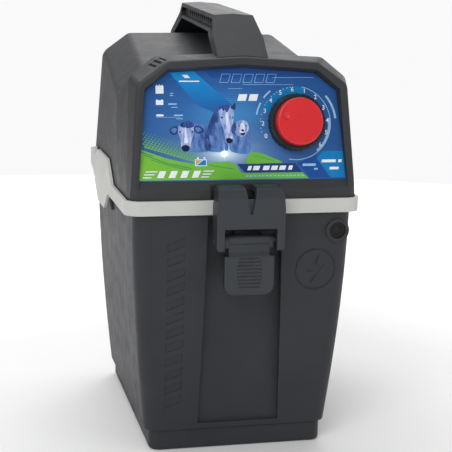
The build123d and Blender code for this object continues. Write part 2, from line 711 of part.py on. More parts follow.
def handle_screw_places():
    """(Y, height of the screw's head) of the screws that hold the handle's feet from inside."""
    roof = JOINT_HEIGHT + HEAD_RISE
    return ((HEAD_FRONT + 34.2, roof - 1.0 - WALL), (HEAD_REAR - 22.0, roof + 10.0 - WALL))


def head_shell():
    body = head_outer() - head_inner()
    body -= panel_recess()
    # pocket that the hooks of the clasp hang in
    pocket_back = FRONT + HOOK_REACH + 1.4
    body -= block(-CLASP_HALF - MOVE_GAP, CLASP_HALF + MOVE_GAP, FRONT - 5, pocket_back,
                  JOINT_HEIGHT - 1, JOINT_HEIGHT + PANEL_FOOT_UP - 0.4)
    # bosses that the base plate screws into
    for x, y in plate_screw_places():
        sign = 1 if x > 0 else -1
        boss = rod((x, y, PLATE_TOP + FIT_GAP), (x, y, PLATE_TOP + POST_HIGH), POST_R)
        x0, x1 = sorted((x, sign * (HEAD_HALF - WALL + 0.5)))
        boss += block(x0, x1, y - POST_R, y + POST_R, PLATE_TOP + FIT_GAP, PLATE_TOP + POST_HIGH)
        body += boss & head_outer()
        body -= rod((x, y, PLATE_TOP - 1), (x, y, PLATE_TOP + PLATE_SCREW + 4), SCREW_R + FIT_GAP)
    # knuckles of the hinge
    for x in (-HINGE_X, HINGE_X):
        start = x - KNUCKLE / 2
        arm = [(HEAD_REAR - WALL, HINGE_Z - 1.2), (HINGE_Y, HINGE_Z - 1.2), (HINGE_Y + HINGE_R, HINGE_Z),
               (HINGE_Y, HINGE_Z + HINGE_R), (HEAD_REAR - WALL, HINGE_Z + 16)]
        knuckle = side_prism(arm, start, start + KNUCKLE)
        knuckle += rod((start, HINGE_Y, HINGE_Z), (start + KNUCKLE, HINGE_Y, HINGE_Z), HINGE_R)
        body += knuckle
        body -= hinge_bore(start, KNUCKLE)
    # holes: switch bush, pulse light, terminals, handle screws
    body -= extrude(KNOB_PLANE * Circle(BUSH_R + FIT_GAP), amount=30, both=True)
    led_plane = PANEL_PLANE * Pos(LED_X, LED_V, 0)
    body -= extrude(led_plane * Circle(LED_R + FIT_GAP), amount=8, both=True)
    for x in (-TERMINAL_X, TERMINAL_X):
        z = JOINT_HEIGHT + TERMINAL_UP
        body -= rod((x, HEAD_REAR - 20, z), (x, HEAD_REAR + 5, z), TERMINAL_NECK_R + FIT_GAP)
    for y, z in handle_screw_places():
        for x in (-HANDLE_SCREW_X, HANDLE_SCREW_X):
            body -= rod((x, y, z), (x, y, z + 20), HANDLE_SCREW_R + FIT_GAP)
    # slanting vents in the left corner of the bezel
    for step in range(VENTS):
        x = VENT_IN - HEAD_HALF - step * VENT_PITCH
        y = HEAD_FRONT + HEAD_RISE * FRONT_LEAN + 7.5
        place = Pos(x, y, JOINT_HEIGHT + HEAD_RISE - 6) * Rot(0, 0, VENT_TURN)
        body -= place * Box(VENT_WIDE, VENT_LONG, VENT_DEEP)
    return one(body)


def control_panel():
    body = extrude(panel_outline(0, 0, 0), amount=-PANEL_THICK, dir=PANEL_NORMAL)
    body -= extrude(KNOB_PLANE * Circle(BUSH_R + FIT_GAP), amount=10, both=True)
    body -= extrude(PANEL_PLANE * Pos(LED_X, LED_V, 0) * Circle(LED_R + FIT_GAP), amount=10, both=True)
    return one(body)


def head_plate():
    """Plate that closes the head from below and carries the electronics."""
    outline = slab(HEAD_HALF - WALL - 2.0, PANEL_Y + 6.5, HEAD_REAR - WALL - 0.8, PLATE_CORNER, PLATE_Z)
    plate = extrude(outline, amount=PLATE_THICK)
    for x, y in board_screw_places():
        plate += rod((x, y, PLATE_TOP), (x, y, PLATE_TOP + BOARD_UP), BOARD_POST_R)
        plate -= rod((x, y, PLATE_TOP + 1), (x, y, PLATE_TOP + BOARD_UP + 1), BOARD_SCREW_R + FIT_GAP)
    for x, y in plate_screw_places():
        plate -= rod((x, y, PLATE_Z - 1), (x, y, PLATE_TOP + 1), SCREW_R + FIT_GAP)
    return one(plate)


def plate_screws():
    low = PLATE_Z - REST_GAP
    return group(screw((x, y, low), (0, 0, 1), SCREW_R, PLATE_SCREW) for x, y in plate_screw_places())


# ---------------------------------------------------------------- handle
def handle_outline(depth):
    """Side view of the handle's arch, moved inwards by depth."""
    foot_front = HEAD_FRONT + HEAD_RISE * FRONT_LEAN + 2.5
    roof = JOINT_HEIGHT + HEAD_RISE
    return [
        (foot_front + 1.3 * depth, roof - 8), (foot_front + 1.3 * depth, roof + 1),
        (GRIP_FRONT + 0.4 * depth, JOINT_HEIGHT + HANDLE_FRONT_UP - depth),
        (GRIP_REAR - 0.3 * depth, JOINT_HEIGHT + HANDLE_TOP_UP - depth),
        (HEAD_REAR - 8 - 1.3 * depth, roof + 12), (HEAD_REAR - 8 - 1.3 * depth, roof - 4),
    ]


def handle_prism(depth, half):
    """The arch with a shallow ridge along its middle."""
    face = Plane.YZ * Polygon(*handle_outline(depth), align=None)
    right = extrude(face, amount=half * math.hypot(1, HANDLE_RIDGE), dir=(1, 0, -HANDLE_RIDGE))
    return right + mirrored(right)


def carry_handle():
    roof = JOINT_HEIGHT + HEAD_RISE
    top = JOINT_HEIGHT + HANDLE_TOP_UP + 5
    knee = JOINT_HEIGHT + HANDLE_KNEE_UP
    shoulder = JOINT_HEIGHT + HANDLE_FRONT_UP - 2
    half = [(HANDLE_FOOT_HALF, roof - 12), (HANDLE_FOOT_HALF, knee),
            (HANDLE_GRIP_HALF, shoulder), (HANDLE_GRIP_HALF, top)]
    silhouette = half + [(-x, z) for x, z in reversed(half)]
    silhouette = front_prism(silhouette, FRONT - 10, REAR + 10)
    arch = handle_prism(0, 25) & silhouette
    under = handle_prism(HANDLE_DEEP, 30)
    body = arch - under
    # hollow the sides between the outer skin and the ribs
    channel = handle_prism(HANDLE_SKIN, 30) - handle_prism(HANDLE_DEEP - 2.2, 30)
    channel &= block(-40, 40, GRIP_FRONT - 6.5, GRIP_REAR + 4, roof - 20, top)
    for sign in (-1, 1):
        x0, x1 = sorted((sign * HANDLE_WEB_HALF, sign * 40))
        body -= channel & block(x0, x1, FRONT, REAR, roof - 20, top)
    # diamond pockets leave a lattice of ribs on both sides of the grip
    grip_run = GRIP_REAR - GRIP_FRONT
    rise = (HANDLE_TOP_UP - HANDLE_FRONT_UP) / grip_run
    for step in range(int((grip_run - LATTICE_END - 4) // LATTICE_PITCH)):
        along = LATTICE_END + step * LATTICE_PITCH
        z = JOINT_HEIGHT + HANDLE_FRONT_UP + along * rise - HANDLE_SKIN - 4.6
        for sign in (-1, 1):
            place = Pos(sign * (HANDLE_WEB_HALF - 3), GRIP_FRONT + along, z) * Rot(45, 0, 0)
            body -= place * Box(8, LATTICE_HOLE, LATTICE_HOLE)
    # the feet follow the roof of the head
    body -= head_outer()
    for y, z in handle_screw_places():
        for x in (-HANDLE_SCREW_X, HANDLE_SCREW_X):
            body -= rod((x, y, z), (x, y, z + HANDLE_SCREW + 0.5), HANDLE_SCREW_R + FIT_GAP)
    return one(body)


def handle_screws():
    screws = []
    for y, z in handle_screw_places():
        for x in (-HANDLE_SCREW_X, HANDLE_SCREW_X):
            screws.append(screw((x, y, z), (0, 0, 1), HANDLE_SCREW_R, HANDLE_SCREW))
    return group(screws)


# ---------------------------------------------------------------- knob and switch
def knob_body(radius, low, high):
    return extrude(KNOB_PLANE.offset(low) * Circle(radius), amount=high - low)


def knob_skirt():
    skirt = knob_body(KNOB_SKIRT_R, KNOB_LIFT, KNOB_SKIRT_TOP)
    skirt = chamfer(skirt.faces().sort_by(Axis((0, 0, 0), PANEL_NORMAL))[-1].edges(), SKIRT_CHAMFER)
    for step in range(FLUTES):
        turn = Rot(0, 0, 360.0 / FLUTES * step)
        place = KNOB_PLANE.offset(KNOB_LIFT - 1) * turn * Pos(KNOB_SKIRT_R + 0.5, 0)
        skirt -= extrude(place * Circle(FLUTE_R), amount=KNOB_SKIRT_TOP - KNOB_LIFT + 2)
    skirt -= knob_body(KNOB_POCKET_R, KNOB_LIFT - 1, KNOB_POCKET)
    skirt -= knob_body(SHAFT_R + PIN_GAP, 0, KNOB_CAP_TOP)
    return one(skirt)


def knob_cap():
    cap = knob_body(KNOB_CAP_R, KNOB_SKIRT_TOP, KNOB_CAP_TOP)
    cap = fillet(cap.faces().sort_by(Axis((0, 0, 0), PANEL_NORMAL))[-1].edges(), CAP_ROUND)
    cap -= knob_body(SHAFT_R + PIN_GAP, KNOB_SKIRT_TOP - 1, KNOB_CAP_TOP - 3)
    # finger dimple that shows the setting
    up = KNOB_CAP_TOP + DIMPLE_R - DIMPLE_DEEP
    cap -= KNOB_PLANE * Rot(0, 0, POINTER_ANGLE) * Pos(KNOB_CAP_R - DIMPLE_IN, 0, up) * Sphere(DIMPLE_R)
    return one(cap)


def switch_shaft():
    return one(knob_body(SHAFT_R, -PANEL_THICK - WALL - SWITCH_DEEP + 4, KNOB_CAP_TOP - 3.5))


def switch_body():
    back = -PANEL_THICK - WALL - FIT_GAP
    body = knob_body(SWITCH_R, back - SWITCH_DEEP, back)
    body += knob_body(BUSH_R, back - 1, BUSH_OUT)
    body -= knob_body(SHAFT_R + PIN_GAP, back - SWITCH_DEEP + 2, BUSH_OUT + 1)
    for step in range(SWITCH_LUGS):
        turn = Rot(0, 0, 360.0 / SWITCH_LUGS * step)
        place = KNOB_PLANE.offset(back - SWITCH_DEEP - 4) * turn * Pos(SWITCH_R - 3, 0)
        body += extrude(place * Rectangle(1.0, 2.4), amount=5)
    return one(body)


def switch_nut():
    face = KNOB_PLANE.offset(REST_GAP) * RegularPolygon(SWITCH_NUT_R, 6)
    nut = extrude(face, amount=SWITCH_NUT)
    nut -= knob_body(BUSH_R + PIN_GAP, -1, SWITCH_NUT + 2)
    return one(nut)


def pulse_light():
    """Clear lens of the lamp that flashes with each pulse."""
    plane = PANEL_PLANE * Pos(LED_X, LED_V, -PANEL_THICK - WALL - 2)
    lens = extrude(plane * Circle(LED_R), amount=PANEL_THICK + WALL + 2)
    lens += extrude(plane * Circle(LED_R + 1.2), amount=1.5)
    lens += PANEL_PLANE * Pos(LED_X, LED_V, 0) * Sphere(LED_R)
    return one(lens)


# ---------------------------------------------------------------- electronics
BOARD_Y = FRONT + BOARD_IN + BOARD_DEPTH / 2
POWER_Y = REAR - POWER_IN
BOARD_TOP = PLATE_TOP + BOARD_UP + REST_GAP + BOARD_THICK + REST_GAP
POWER_ROW_Y = BOARD_Y + BOARD_DEPTH / 2 - POWER_ROW_IN


def board_screw_places():
    x = BOARD_WIDTH / 2 - BOARD_SCREW_IN
    y = BOARD_DEPTH / 2 - BOARD_SCREW_IN
    return [(sx * x, BOARD_Y + sy * y) for sx in (-1, 1) for sy in (-1, 1)]


def circuit_board():
    low = PLATE_TOP + BOARD_UP + REST_GAP
    half = BOARD_WIDTH / 2
    board = block(-half, half, BOARD_Y - BOARD_DEPTH / 2, BOARD_Y + BOARD_DEPTH / 2, low, low + BOARD_THICK)
    for x, y in board_screw_places():
        board -= rod((x, y, low - 1), (x, y, low + BOARD_THICK + 1), BOARD_SCREW_R + FIT_GAP)
    return one(board)


def board_screws():
    down = (0, 0, -1)
    return group(screw((x, y, BOARD_TOP), down, BOARD_SCREW_R, BOARD_SCREW) for x, y in board_screw_places())


def transformer_core():
    """E-I laminated core, standing on the base plate with its windows open to front and back."""
    low = PLATE_TOP + REST_GAP
    near = POWER_Y - CORE_DEEP_HALF
    far = POWER_Y + CORE_DEEP_HALF
    core = block(CORE_X - CORE_HALF, CORE_X + CORE_HALF, near, far, low, low + CORE_HIGH)
    for sign in (-1, 1):
        x0, x1 = sorted((CORE_X + sign * CORE_LIMB, CORE_X + sign * 2 * CORE_LIMB))
        core -= block(x0, x1, near - 1, far + 1, low + CORE_LIMB, low + CORE_HIGH - CORE_LIMB)
    return one(core)


def transformer_winding():
    low = PLATE_TOP + REST_GAP + CORE_LIMB
    high = low + CORE_HIGH - 2 * CORE_LIMB
    air = 0.5  # between coil and core
    deep = CORE_DEEP_HALF + COIL_OVER
    half = 2 * CORE_LIMB - air
    coil = block(CORE_X - half, CORE_X + half, POWER_Y - deep, POWER_Y + deep, low + air, high - air)
    coil = fillet(coil.edges().filter_by(Axis.Z), 5.0)
    limb = CORE_LIMB + 0.2
    limb_deep = CORE_DEEP_HALF + 0.2
    coil -= block(CORE_X - limb, CORE_X + limb, POWER_Y - limb_deep, POWER_Y + limb_deep, low, high)
    return one(coil)


def storage_capacitor():
    """Film capacitor lying on the base plate."""
    z = PLATE_TOP + CAN_R + 0.05
    can = rod((CAN_X[0], POWER_Y, z), (CAN_X[1], POWER_Y, z), CAN_R)
    can = fillet(can.edges(), 1.5)
    for end, sign in zip(CAN_X, (-1, 1)):
        can += rod((end, POWER_Y, z), (end + sign * 5, POWER_Y, z), 1.2)
    return one(can)


def thyristor():
    near = POWER_ROW_Y
    x0, x1 = THYRISTOR_X
    body = block(x0, x1, near, near + THYRISTOR_DEEP, BOARD_TOP + 4, BOARD_TOP + 20)
    for step in (-2.5, 0, 2.5):
        x = (x0 + x1) / 2 + step
        body += block(x - 0.4, x + 0.4, near + 1, near + 2, BOARD_TOP, BOARD_TOP + 5)
    return one(body)


def heat_sink():
    near = POWER_ROW_Y + THYRISTOR_DEEP + 0.05
    high = BOARD_TOP + SINK_HIGH
    sink = block(*SINK_X, near, near + SINK_BACK, BOARD_TOP, high)
    for step in range(SINK_FINS):
        x = SINK_X[0] + 1 + step * SINK_PITCH
        sink += block(x, x + SINK_FIN, near + SINK_BACK - 0.5, near + SINK_DEEP, BOARD_TOP, high)
    return one(sink)


def terminal_block():
    """Screw terminals for the battery leads."""
    near = BOARD_Y - BOARD_DEPTH / 2 + 5
    middle = near + BLOCK_DEEP / 2
    high = BOARD_TOP + BLOCK_HIGH
    entry = BOARD_TOP + 4.5
    body = block(*BLOCK_X, near, near + BLOCK_DEEP, BOARD_TOP, high)
    for x in (BLOCK_X[0] + 6, BLOCK_X[1] - 6):
        body -= rod((x, middle, high - 3), (x, middle, high + 1), 2.6)
        body -= rod((x, near - 2, entry), (x, middle - 1, entry), 2.2)
    return one(body)


# ---------------------------------------------------------------- terminals
TERMINAL_FACE = HEAD_REAR + FIT_GAP


def terminal_bush(x):
    z = JOINT_HEIGHT + TERMINAL_UP
    bush = rod((x, TERMINAL_FACE, z), (x, TERMINAL_FACE + TERMINAL_FLANGE, z), TERMINAL_FLANGE_R)
    outer = bush.faces().sort_by(Axis.Y)[-1]
    bush = chamfer(outer.edges(), 2.0)
    bush += rod((x, HEAD_REAR - WALL - 3, z), (x, TERMINAL_FACE + 1, z), TERMINAL_NECK_R)
    bush -= rod((x, HEAD_REAR - 20, z), (x, TERMINAL_FACE + 20, z), STUD_R + PIN_GAP)
    return one(bush)


def terminal_stud(x):
    z = JOINT_HEIGHT + TERMINAL_UP
    thread_end = TERMINAL_FACE + TERMINAL_FLANGE + TERMINAL_LUG_ROOM + TERMINAL_KNOB
    stud = rod((x, HEAD_REAR - WALL - STUD_IN, z), (x, thread_end, z), STUD_R)
    stud += rod((x, thread_end - 1, z), (x, thread_end + STUD_END, z), STUD_END_R)
    nut = Plane(origin=(x, HEAD_REAR - WALL - 3.05, z), z_dir=(0, -1, 0)) * RegularPolygon(STUD_NUT_R, 6)
    return one(stud + extrude(nut, amount=STUD_NUT))


def terminal_knob(x):
    """Fluted thumb nut."""
    z = JOINT_HEIGHT + TERMINAL_UP
    low = TERMINAL_FACE + TERMINAL_FLANGE + TERMINAL_LUG_ROOM
    knob = rod((x, low, z), (x, low + TERMINAL_KNOB, z), TERMINAL_KNOB_R)
    knob = chamfer(knob.faces().sort_by(Axis.Y)[-1].edges(), 1.5)
    for step in range(TERMINAL_FLUTES):
        angle = math.tau / TERMINAL_FLUTES * step
        fx = x + (TERMINAL_KNOB_R + 1.0) * math.cos(angle)
        fz = z + (TERMINAL_KNOB_R + 1.0) * math.sin(angle)
        knob -= rod((fx, low - 1, fz), (fx, low + TERMINAL_KNOB + 1, fz), TERMINAL_FLUTE_R)
    knob -= rod((x, low - 1, z), (x, low + TERMINAL_KNOB + 1, z), STUD_R + PIN_GAP)
    return one(knob)


# ---------------------------------------------------------------- draw latch
def latch_lever():
    """Pull lever: an arm to its pivot on the tub, a barrel that draws the clasp, and a pull tab."""
    body = rod((-LEVER_HALF, CLASP_Y, CLASP_Z), (LEVER_HALF, CLASP_Y, CLASP_Z), LATCH_EYE_R)
    # the arm's upper edge stays clear of the band when the lever is fully open
    arm = [(CLASP_Y - 1, CLASP_Z - 4), (LEVER_Y + 3.4, LEVER_Z - 3.4), (LEVER_Y - 3.4, LEVER_Z + 2.2),
           (CLASP_Y - 4, CLASP_Z + 0.5)]
    body += side_prism(arm, -LEVER_ARM_HALF, LEVER_ARM_HALF)
    body += rod((-LEVER_ARM_HALF, LEVER_Y, LEVER_Z), (LEVER_ARM_HALF, LEVER_Y, LEVER_Z), LATCH_EYE_R)
    low = LEVER_Z - LEVER_DOWN
    face = CLASP_Y - TAB_RISE
    tab = [(CLASP_Y - 4, CLASP_Z), (CLASP_Y + 4, CLASP_Z), (CLASP_Y + 1.5, CLASP_Z - 12),
           (face + 7.0, low + 3), (face + 5.0, low), (face + 1.5, low), (face, low + 4),
           (face, CLASP_Z - 12.5), (face + 2.5, CLASP_Z - 9)]
    outline = RectangleRounded(2 * LEVER_HALF, 2 * (CLASP_Z - low), TAB_CORNER)
    outline = Plane(origin=(0, FRONT - 60, CLASP_Z), x_dir=(1, 0, 0), z_dir=(0, -1, 0)) * outline
    body += side_prism(tab, -LEVER_HALF, LEVER_HALF) & extrude(outline, amount=-100)
    # a square notch at each end of the barrel, above and below it
    for sign in (-1, 1):
        x0, x1 = sorted((sign * (LEVER_HALF - 3.6), sign * (LEVER_HALF + 1)))
        body -= block(x0, x1, CLASP_Y - 12, CLASP_Y + 12, CLASP_Z - 12.0, CLASP_Z - 5.6)
    body -= block(-LEVER_HALF + 4, LEVER_HALF - 4, CLASP_Y - 6, CLASP_Y - 3.4, CLASP_Z - 2.6, CLASP_Z + 2.6)
    # grip ridges across the tab
    for step in range(RIDGES):
        z = low + 6.5 + step * RIDGE_PITCH
        half = 8.0 + 2.6 * math.sin(math.pi * (step + 1) / (RIDGES + 1))
        body -= block(-half, half, face - 1, face + RIDGE_DEEP, z, z + RIDGE_WIDE)
    end = LEVER_HALF + PAST
    body -= rod((-end, LEVER_Y, LEVER_Z), (end, LEVER_Y, LEVER_Z), LATCH_PIN_R + PIN_GAP)
    body -= rod((-end, CLASP_Y, CLASP_Z), (end, CLASP_Y, CLASP_Z), LATCH_PIN_R + PIN_GAP)
    return one(body)


def latch_clasp():
    """Hook plate: rounded shoulders over the sill, a V groove between them and two legs to the barrel."""
    top = JOINT_HEIGHT + CLASP_TOP_UP
    under = JOINT_HEIGHT + HOOK_UNDER_UP
    leg_low = CLASP_Z - 7.0
    plate_low = CLASP_Z + 11.0
    inner = CLASP_FACE + CLASP_WALL
    tip = FRONT + HOOK_REACH
    profile = [(CLASP_FACE, leg_low), (CLASP_FACE, top), (tip, top), (tip, under), (inner + 5, under),
               (inner, under - 5), (inner, leg_low)]
    shell = side_prism(profile, -CLASP_HALF, CLASP_HALF)
    nose = shell.edges().filter_by(Axis.X).sort_by(lambda e: e.center().Z - e.center().Y)[-1]
    shell = fillet(nose, NOSE_ROUND)
    # side cheeks back to the band
    back = FRONT - MOVE_GAP
    rear = CLASP_Y + LATCH_EYE_R
    cheek = [(CLASP_FACE + 1, leg_low), (rear, leg_low), (rear, CLASP_Z + 6), (back, CLASP_Z + 12),
             (back, under + 1), (CLASP_FACE + 1, under + 1)]
    leg = [(CLASP_FACE + 1, leg_low), (rear, leg_low), (rear, CLASP_Z + 3), (CLASP_FACE + 1, plate_low + 1)]
    for sign in (-1, 1):
        x0, x1 = sorted((sign * (CLASP_HALF - CLASP_CHEEK), sign * CLASP_HALF))
        shell += side_prism(cheek, x0, x1)
        x0, x1 = sorted((sign * LEG_HALF_GAP, sign * CLASP_HALF))
        shell += side_prism(leg, x0, x1)
    # window between the legs
    shell -= block(-LEG_HALF_GAP, LEG_HALF_GAP, CLASP_FACE - 5, CLASP_Y + 20, leg_low - 1, plate_low)
    # rounded upper corners, and sides that spread a little towards the legs
    outline = [(CLASP_HALF - CLASP_FLARE, top), (CLASP_HALF, under - 12), (CLASP_HALF, leg_low - 1)]
    outline += [(-x, z) for x, z in reversed(outline)]
    form = front_prism(outline, CLASP_FACE - 5, FRONT + 20)
    form = fillet([e for e in form.edges().filter_by(Axis.Y) if e.center().Z > top - 1], CLASP_ROUND)
    shell &= form
    # V groove from the top down
    groove = [(5.5, top + 5), (3.8, top - 6), (0.8, top - GROOVE_DOWN)]
    groove += [(-x, z) for x, z in reversed(groove)]
    shell -= front_prism(groove, CLASP_FACE - 5, CLASP_FACE + GROOVE_DEEP)
    hook_gap = block(-9, 9, CLASP_FACE - PAST, FRONT + 20, under - 5, top + 6)
    shell -= front_prism(groove, CLASP_FACE - 5, FRONT + 20) & hook_gap
    corners = shell.edges().filter_by(Axis.Y).filter_by(lambda e: abs(e.center().X) > CLASP_HALF - 0.1)
    shell = fillet([e for e in corners if e.center().Z < leg_low + 0.5], LEG_ROUND)
    end = CLASP_HALF + PAST
    shell -= rod((-end, CLASP_Y, CLASP_Z), (end, CLASP_Y, CLASP_Z), LATCH_PIN_R + PIN_GAP)
    return one(shell)


def lever_pin():
    end = ear_places()[1][1]
    return one(rod((-end, LEVER_Y, LEVER_Z), (end, LEVER_Y, LEVER_Z), LATCH_PIN_R))


def clasp_pin():
    return one(rod((-CLASP_HALF + 0.5, CLASP_Y, CLASP_Z), (CLASP_HALF - 0.5, CLASP_Y, CLASP_Z), LATCH_PIN_R))


# ---------------------------------------------------------------- write the parts
PARTS = {
    "battery_tub": battery_tub,
    "lead_port_plug": lead_port_plug,
    "rim_band": rim_band,
    "rim_seal": rim_seal,
    "hinge_pins": hinge_pins,
    "lever_pin": lever_pin,
    "head_shell": head_shell,
    "control_panel": control_panel,
    "head_plate": head_plate,
    "plate_screws": plate_screws,
    "carry_handle": carry_handle,
    "handle_screws": handle_screws,
    "switch_body": switch_body,
    "switch_nut": switch_nut,
    "pulse_light": pulse_light,
    "circuit_board": circuit_board,
    "board_screws": board_screws,
    "transformer_core": transformer_core,
    "transformer_winding": transformer_winding,
    "storage_capacitor": storage_capacitor,
    "thyristor": thyristor,
    "heat_sink": heat_sink,
    "terminal_block": terminal_block,
    "fence_bush": lambda: terminal_bush(-TERMINAL_X),
    "earth_bush": lambda: terminal_bush(TERMINAL_X),
    "fence_stud": lambda: terminal_stud(-TERMINAL_X),
    "earth_stud": lambda: terminal_stud(TERMINAL_X),
    "fence_knob": lambda: terminal_knob(-TERMINAL_X),
    "earth_knob": lambda: terminal_knob(TERMINAL_X),
    "knob_skirt": knob_skirt,
    "knob_cap": knob_cap,
    "switch_shaft": switch_shaft,
    "latch_lever": latch_lever,
    "latch_clasp": latch_clasp,
    "clasp_pin": clasp_pin,
}

if __name__ == "__main__":
    os.makedirs("parts", exist_ok=True)
    for name, make in PARTS.items():
        export_step(make(), f"parts/{name}.step")
        print("wrote", name)
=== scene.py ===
import json
import math

import bmesh
import bpy
from mathutils import Matrix, Vector
from mathutils.geometry import tessellate_polygon


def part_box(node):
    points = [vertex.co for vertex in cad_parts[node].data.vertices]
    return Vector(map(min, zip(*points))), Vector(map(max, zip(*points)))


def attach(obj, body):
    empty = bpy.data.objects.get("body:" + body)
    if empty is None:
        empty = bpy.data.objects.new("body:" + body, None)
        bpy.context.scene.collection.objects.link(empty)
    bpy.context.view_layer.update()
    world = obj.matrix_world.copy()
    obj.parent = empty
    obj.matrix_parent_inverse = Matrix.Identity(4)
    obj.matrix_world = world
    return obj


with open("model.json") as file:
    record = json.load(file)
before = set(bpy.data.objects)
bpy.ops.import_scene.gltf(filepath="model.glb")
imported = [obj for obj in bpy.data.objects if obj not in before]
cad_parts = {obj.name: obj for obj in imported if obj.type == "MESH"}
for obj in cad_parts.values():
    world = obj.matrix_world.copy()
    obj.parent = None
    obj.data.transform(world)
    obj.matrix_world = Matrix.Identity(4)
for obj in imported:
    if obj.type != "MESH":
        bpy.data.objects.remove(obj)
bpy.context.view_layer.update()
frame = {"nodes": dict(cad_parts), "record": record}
NODES = frame["nodes"]
MM = 0.001

# ------------------------------------------------------------------ places taken from the frame
panel_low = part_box("control_panel")[0]
joints = {joint["name"]: joint for joint in frame["record"]["behaviour"]["joints"]}
TILT = 0.2  # lean of the control panel from upright, in radians
PANEL_V = Vector((0, math.sin(TILT), math.cos(TILT)))  # up along the panel
PANEL_N = Vector((0, -math.cos(TILT), math.sin(TILT)))  # out of the panel
PANEL_THICK = 1.5 * MM
# front lower edge of the panel, in the middle
PANEL_O = Vector((0, panel_low.y, panel_low.z + PANEL_THICK * math.sin(TILT)))
# knob's centre on the panel, in millimetres to a tenth
knob_from_corner = (Vector(joints["knob_turn"]["pos_m"]) - PANEL_O) / MM
KNOB_AT = (round(knob_from_corner.x, 1), round(knob_from_corner.dot(PANEL_V), 1))


# ------------------------------------------------------------------ shader helpers
class Nodes:
    """A small helper that makes and links the nodes of one material."""

    def __init__(self, name):
        self.material = bpy.data.materials.new(name)
        self.material.use_nodes = True
        self.tree = self.material.node_tree
        self.tree.nodes.clear()
        self.out = self.new("ShaderNodeOutputMaterial")
        self.shader = self.new("ShaderNodeBsdfPrincipled")
        self.link(self.shader.outputs[0], self.out.inputs[0])
        self.coords = self.new("ShaderNodeTexCoord").outputs["Object"]

    def new(self, kind, **values):
        node = self.tree.nodes.new(kind)
        for key, value in values.items():
            setattr(node, key, value)
        return node

    def link(self, a, b):
        self.tree.links.new(a, b)

    def put(self, socket, value):
        if isinstance(value, bpy.types.NodeSocket):
            self.link(value, socket)
        else:
            socket.default_value = value

    def math(self, operation, a, b=0.0, c=0.0, clamp=False):
        node = self.new("ShaderNodeMath", operation=operation, use_clamp=clamp)
        for socket, value in zip(node.inputs, (a, b, c)):
            self.put(socket, value)
        return node.outputs[0]

    def noise(self, scale, detail=4.0, rough=0.55, stretch=(1, 1, 1), coords=None):
        place = self.new("ShaderNodeMapping")
        place.inputs["Scale"].default_value = stretch
        self.link(coords or self.coords, place.inputs[0])
        node = self.new("ShaderNodeTexNoise")
        self.link(place.outputs[0], node.inputs["Vector"])
        node.inputs["Scale"].default_value = scale
        node.inputs["Detail"].default_value = detail
        node.inputs["Roughness"].default_value = rough
        return node.outputs[0]

    def remap(self, value, low, high, to_low=0.0, to_high=1.0):
        node = self.new("ShaderNodeMapRange")
        for socket, number in zip(node.inputs, (value, low, high, to_low, to_high)):
            self.put(socket, number)
        return node.outputs[0]

    def mix(self, factor, a, b, blend="MIX"):
        node = self.new("ShaderNodeMix", data_type="RGBA", blend_type=blend)
        self.put(node.inputs[0], factor)
        for socket, value in zip((node.inputs[6], node.inputs[7]), (a, b)):
            self.put(socket, value)
        return node.outputs[2]

    def bump(self, height, distance, strength=1.0, normal=None):
        node = self.new("ShaderNodeBump")
        node.inputs["Strength"].default_value = strength
        node.inputs["Distance"].default_value = distance
        self.link(height, node.inputs["Height"])
        if normal:
            self.link(normal, node.inputs["Normal"])
        return node.outputs[0]

    def soft_edges(self, radius):
        node = self.new("ShaderNodeBevel", samples=4)
        node.inputs["Radius"].default_value = radius
        return node.outputs[0]

    def set(self, **values):
        for key, value in values.items():
            self.put(self.shader.inputs[key.replace("_", " ")], value)


def linear(r, g, b):
    """An sRGB colour in 0-255 as linear RGBA."""
    def one(c):
        c /= 255
        return c / 12.92 if c <= 0.04045 else ((c + 0.055) / 1.055) ** 2.4
    return (one(r), one(g), one(b), 1.0)


def shade(colour, factor):
    return tuple(c * factor for c in colour[:3]) + (1.0,)


SPECK_SCALE = 2600.0  # fine light specks in the plastic
WAVE_DEPTH = 0.0001  # slow unevenness of a moulded face, in metres


def moulding(name, colour, rough=0.55, grain=0.00007, grain_scale=1500.0, edge=0.0008, cloud=0.09, wear_and_sheen=None,
             shine=0.5):
    """Moulded plastic: eroded grain, slightly uneven tone and gloss, softened edges that are lightened as
    faint wear and as a painted sheen highlight.
    """
    n = Nodes(name)
    tone = n.remap(n.noise(22.0, 5.0), 0.3, 0.7, 0.0, 1.0)
    base = n.mix(tone, shade(colour, 1 - cloud), shade(colour, 1 + cloud))
    speck = n.remap(n.noise(SPECK_SCALE, 2.0), 0.35, 0.75)
    base = n.mix(n.math("MULTIPLY", speck, 0.35), base, shade(colour, 1.5))
    soft = n.soft_edges(edge)
    if wear_and_sheen:
        # edges lightened towards the given edge colour: part faint rubbed wear, part painted sheen highlight
        true = n.new("ShaderNodeNewGeometry").outputs["Normal"]
        facing = n.new("ShaderNodeVectorMath", operation="DOT_PRODUCT")
        n.link(soft, facing.inputs[0])
        n.link(true, facing.inputs[1])
        edge_share = n.remap(facing.outputs["Value"], 0.99, 0.86)
        rub_and_sheen = n.math("MULTIPLY", edge_share, n.remap(n.noise(160.0, 5.0), 0.35, 0.65))
        base = n.mix(n.math("MULTIPLY", rub_and_sheen, 0.45), base, wear_and_sheen)
    smear = n.remap(n.noise(60.0, 6.0, 0.65), 0.3, 0.7, rough - 0.07, rough + 0.08)
    grainy = n.bump(n.noise(grain_scale, 3.0, 0.7), grain, 0.9, soft)
    waves = n.bump(n.noise(90.0, 2.0), WAVE_DEPTH, 0.25, grainy)
    n.set(Base_Color=base, Roughness=smear, Normal=waves, Specular_IOR_Level=shine)
    return n.material


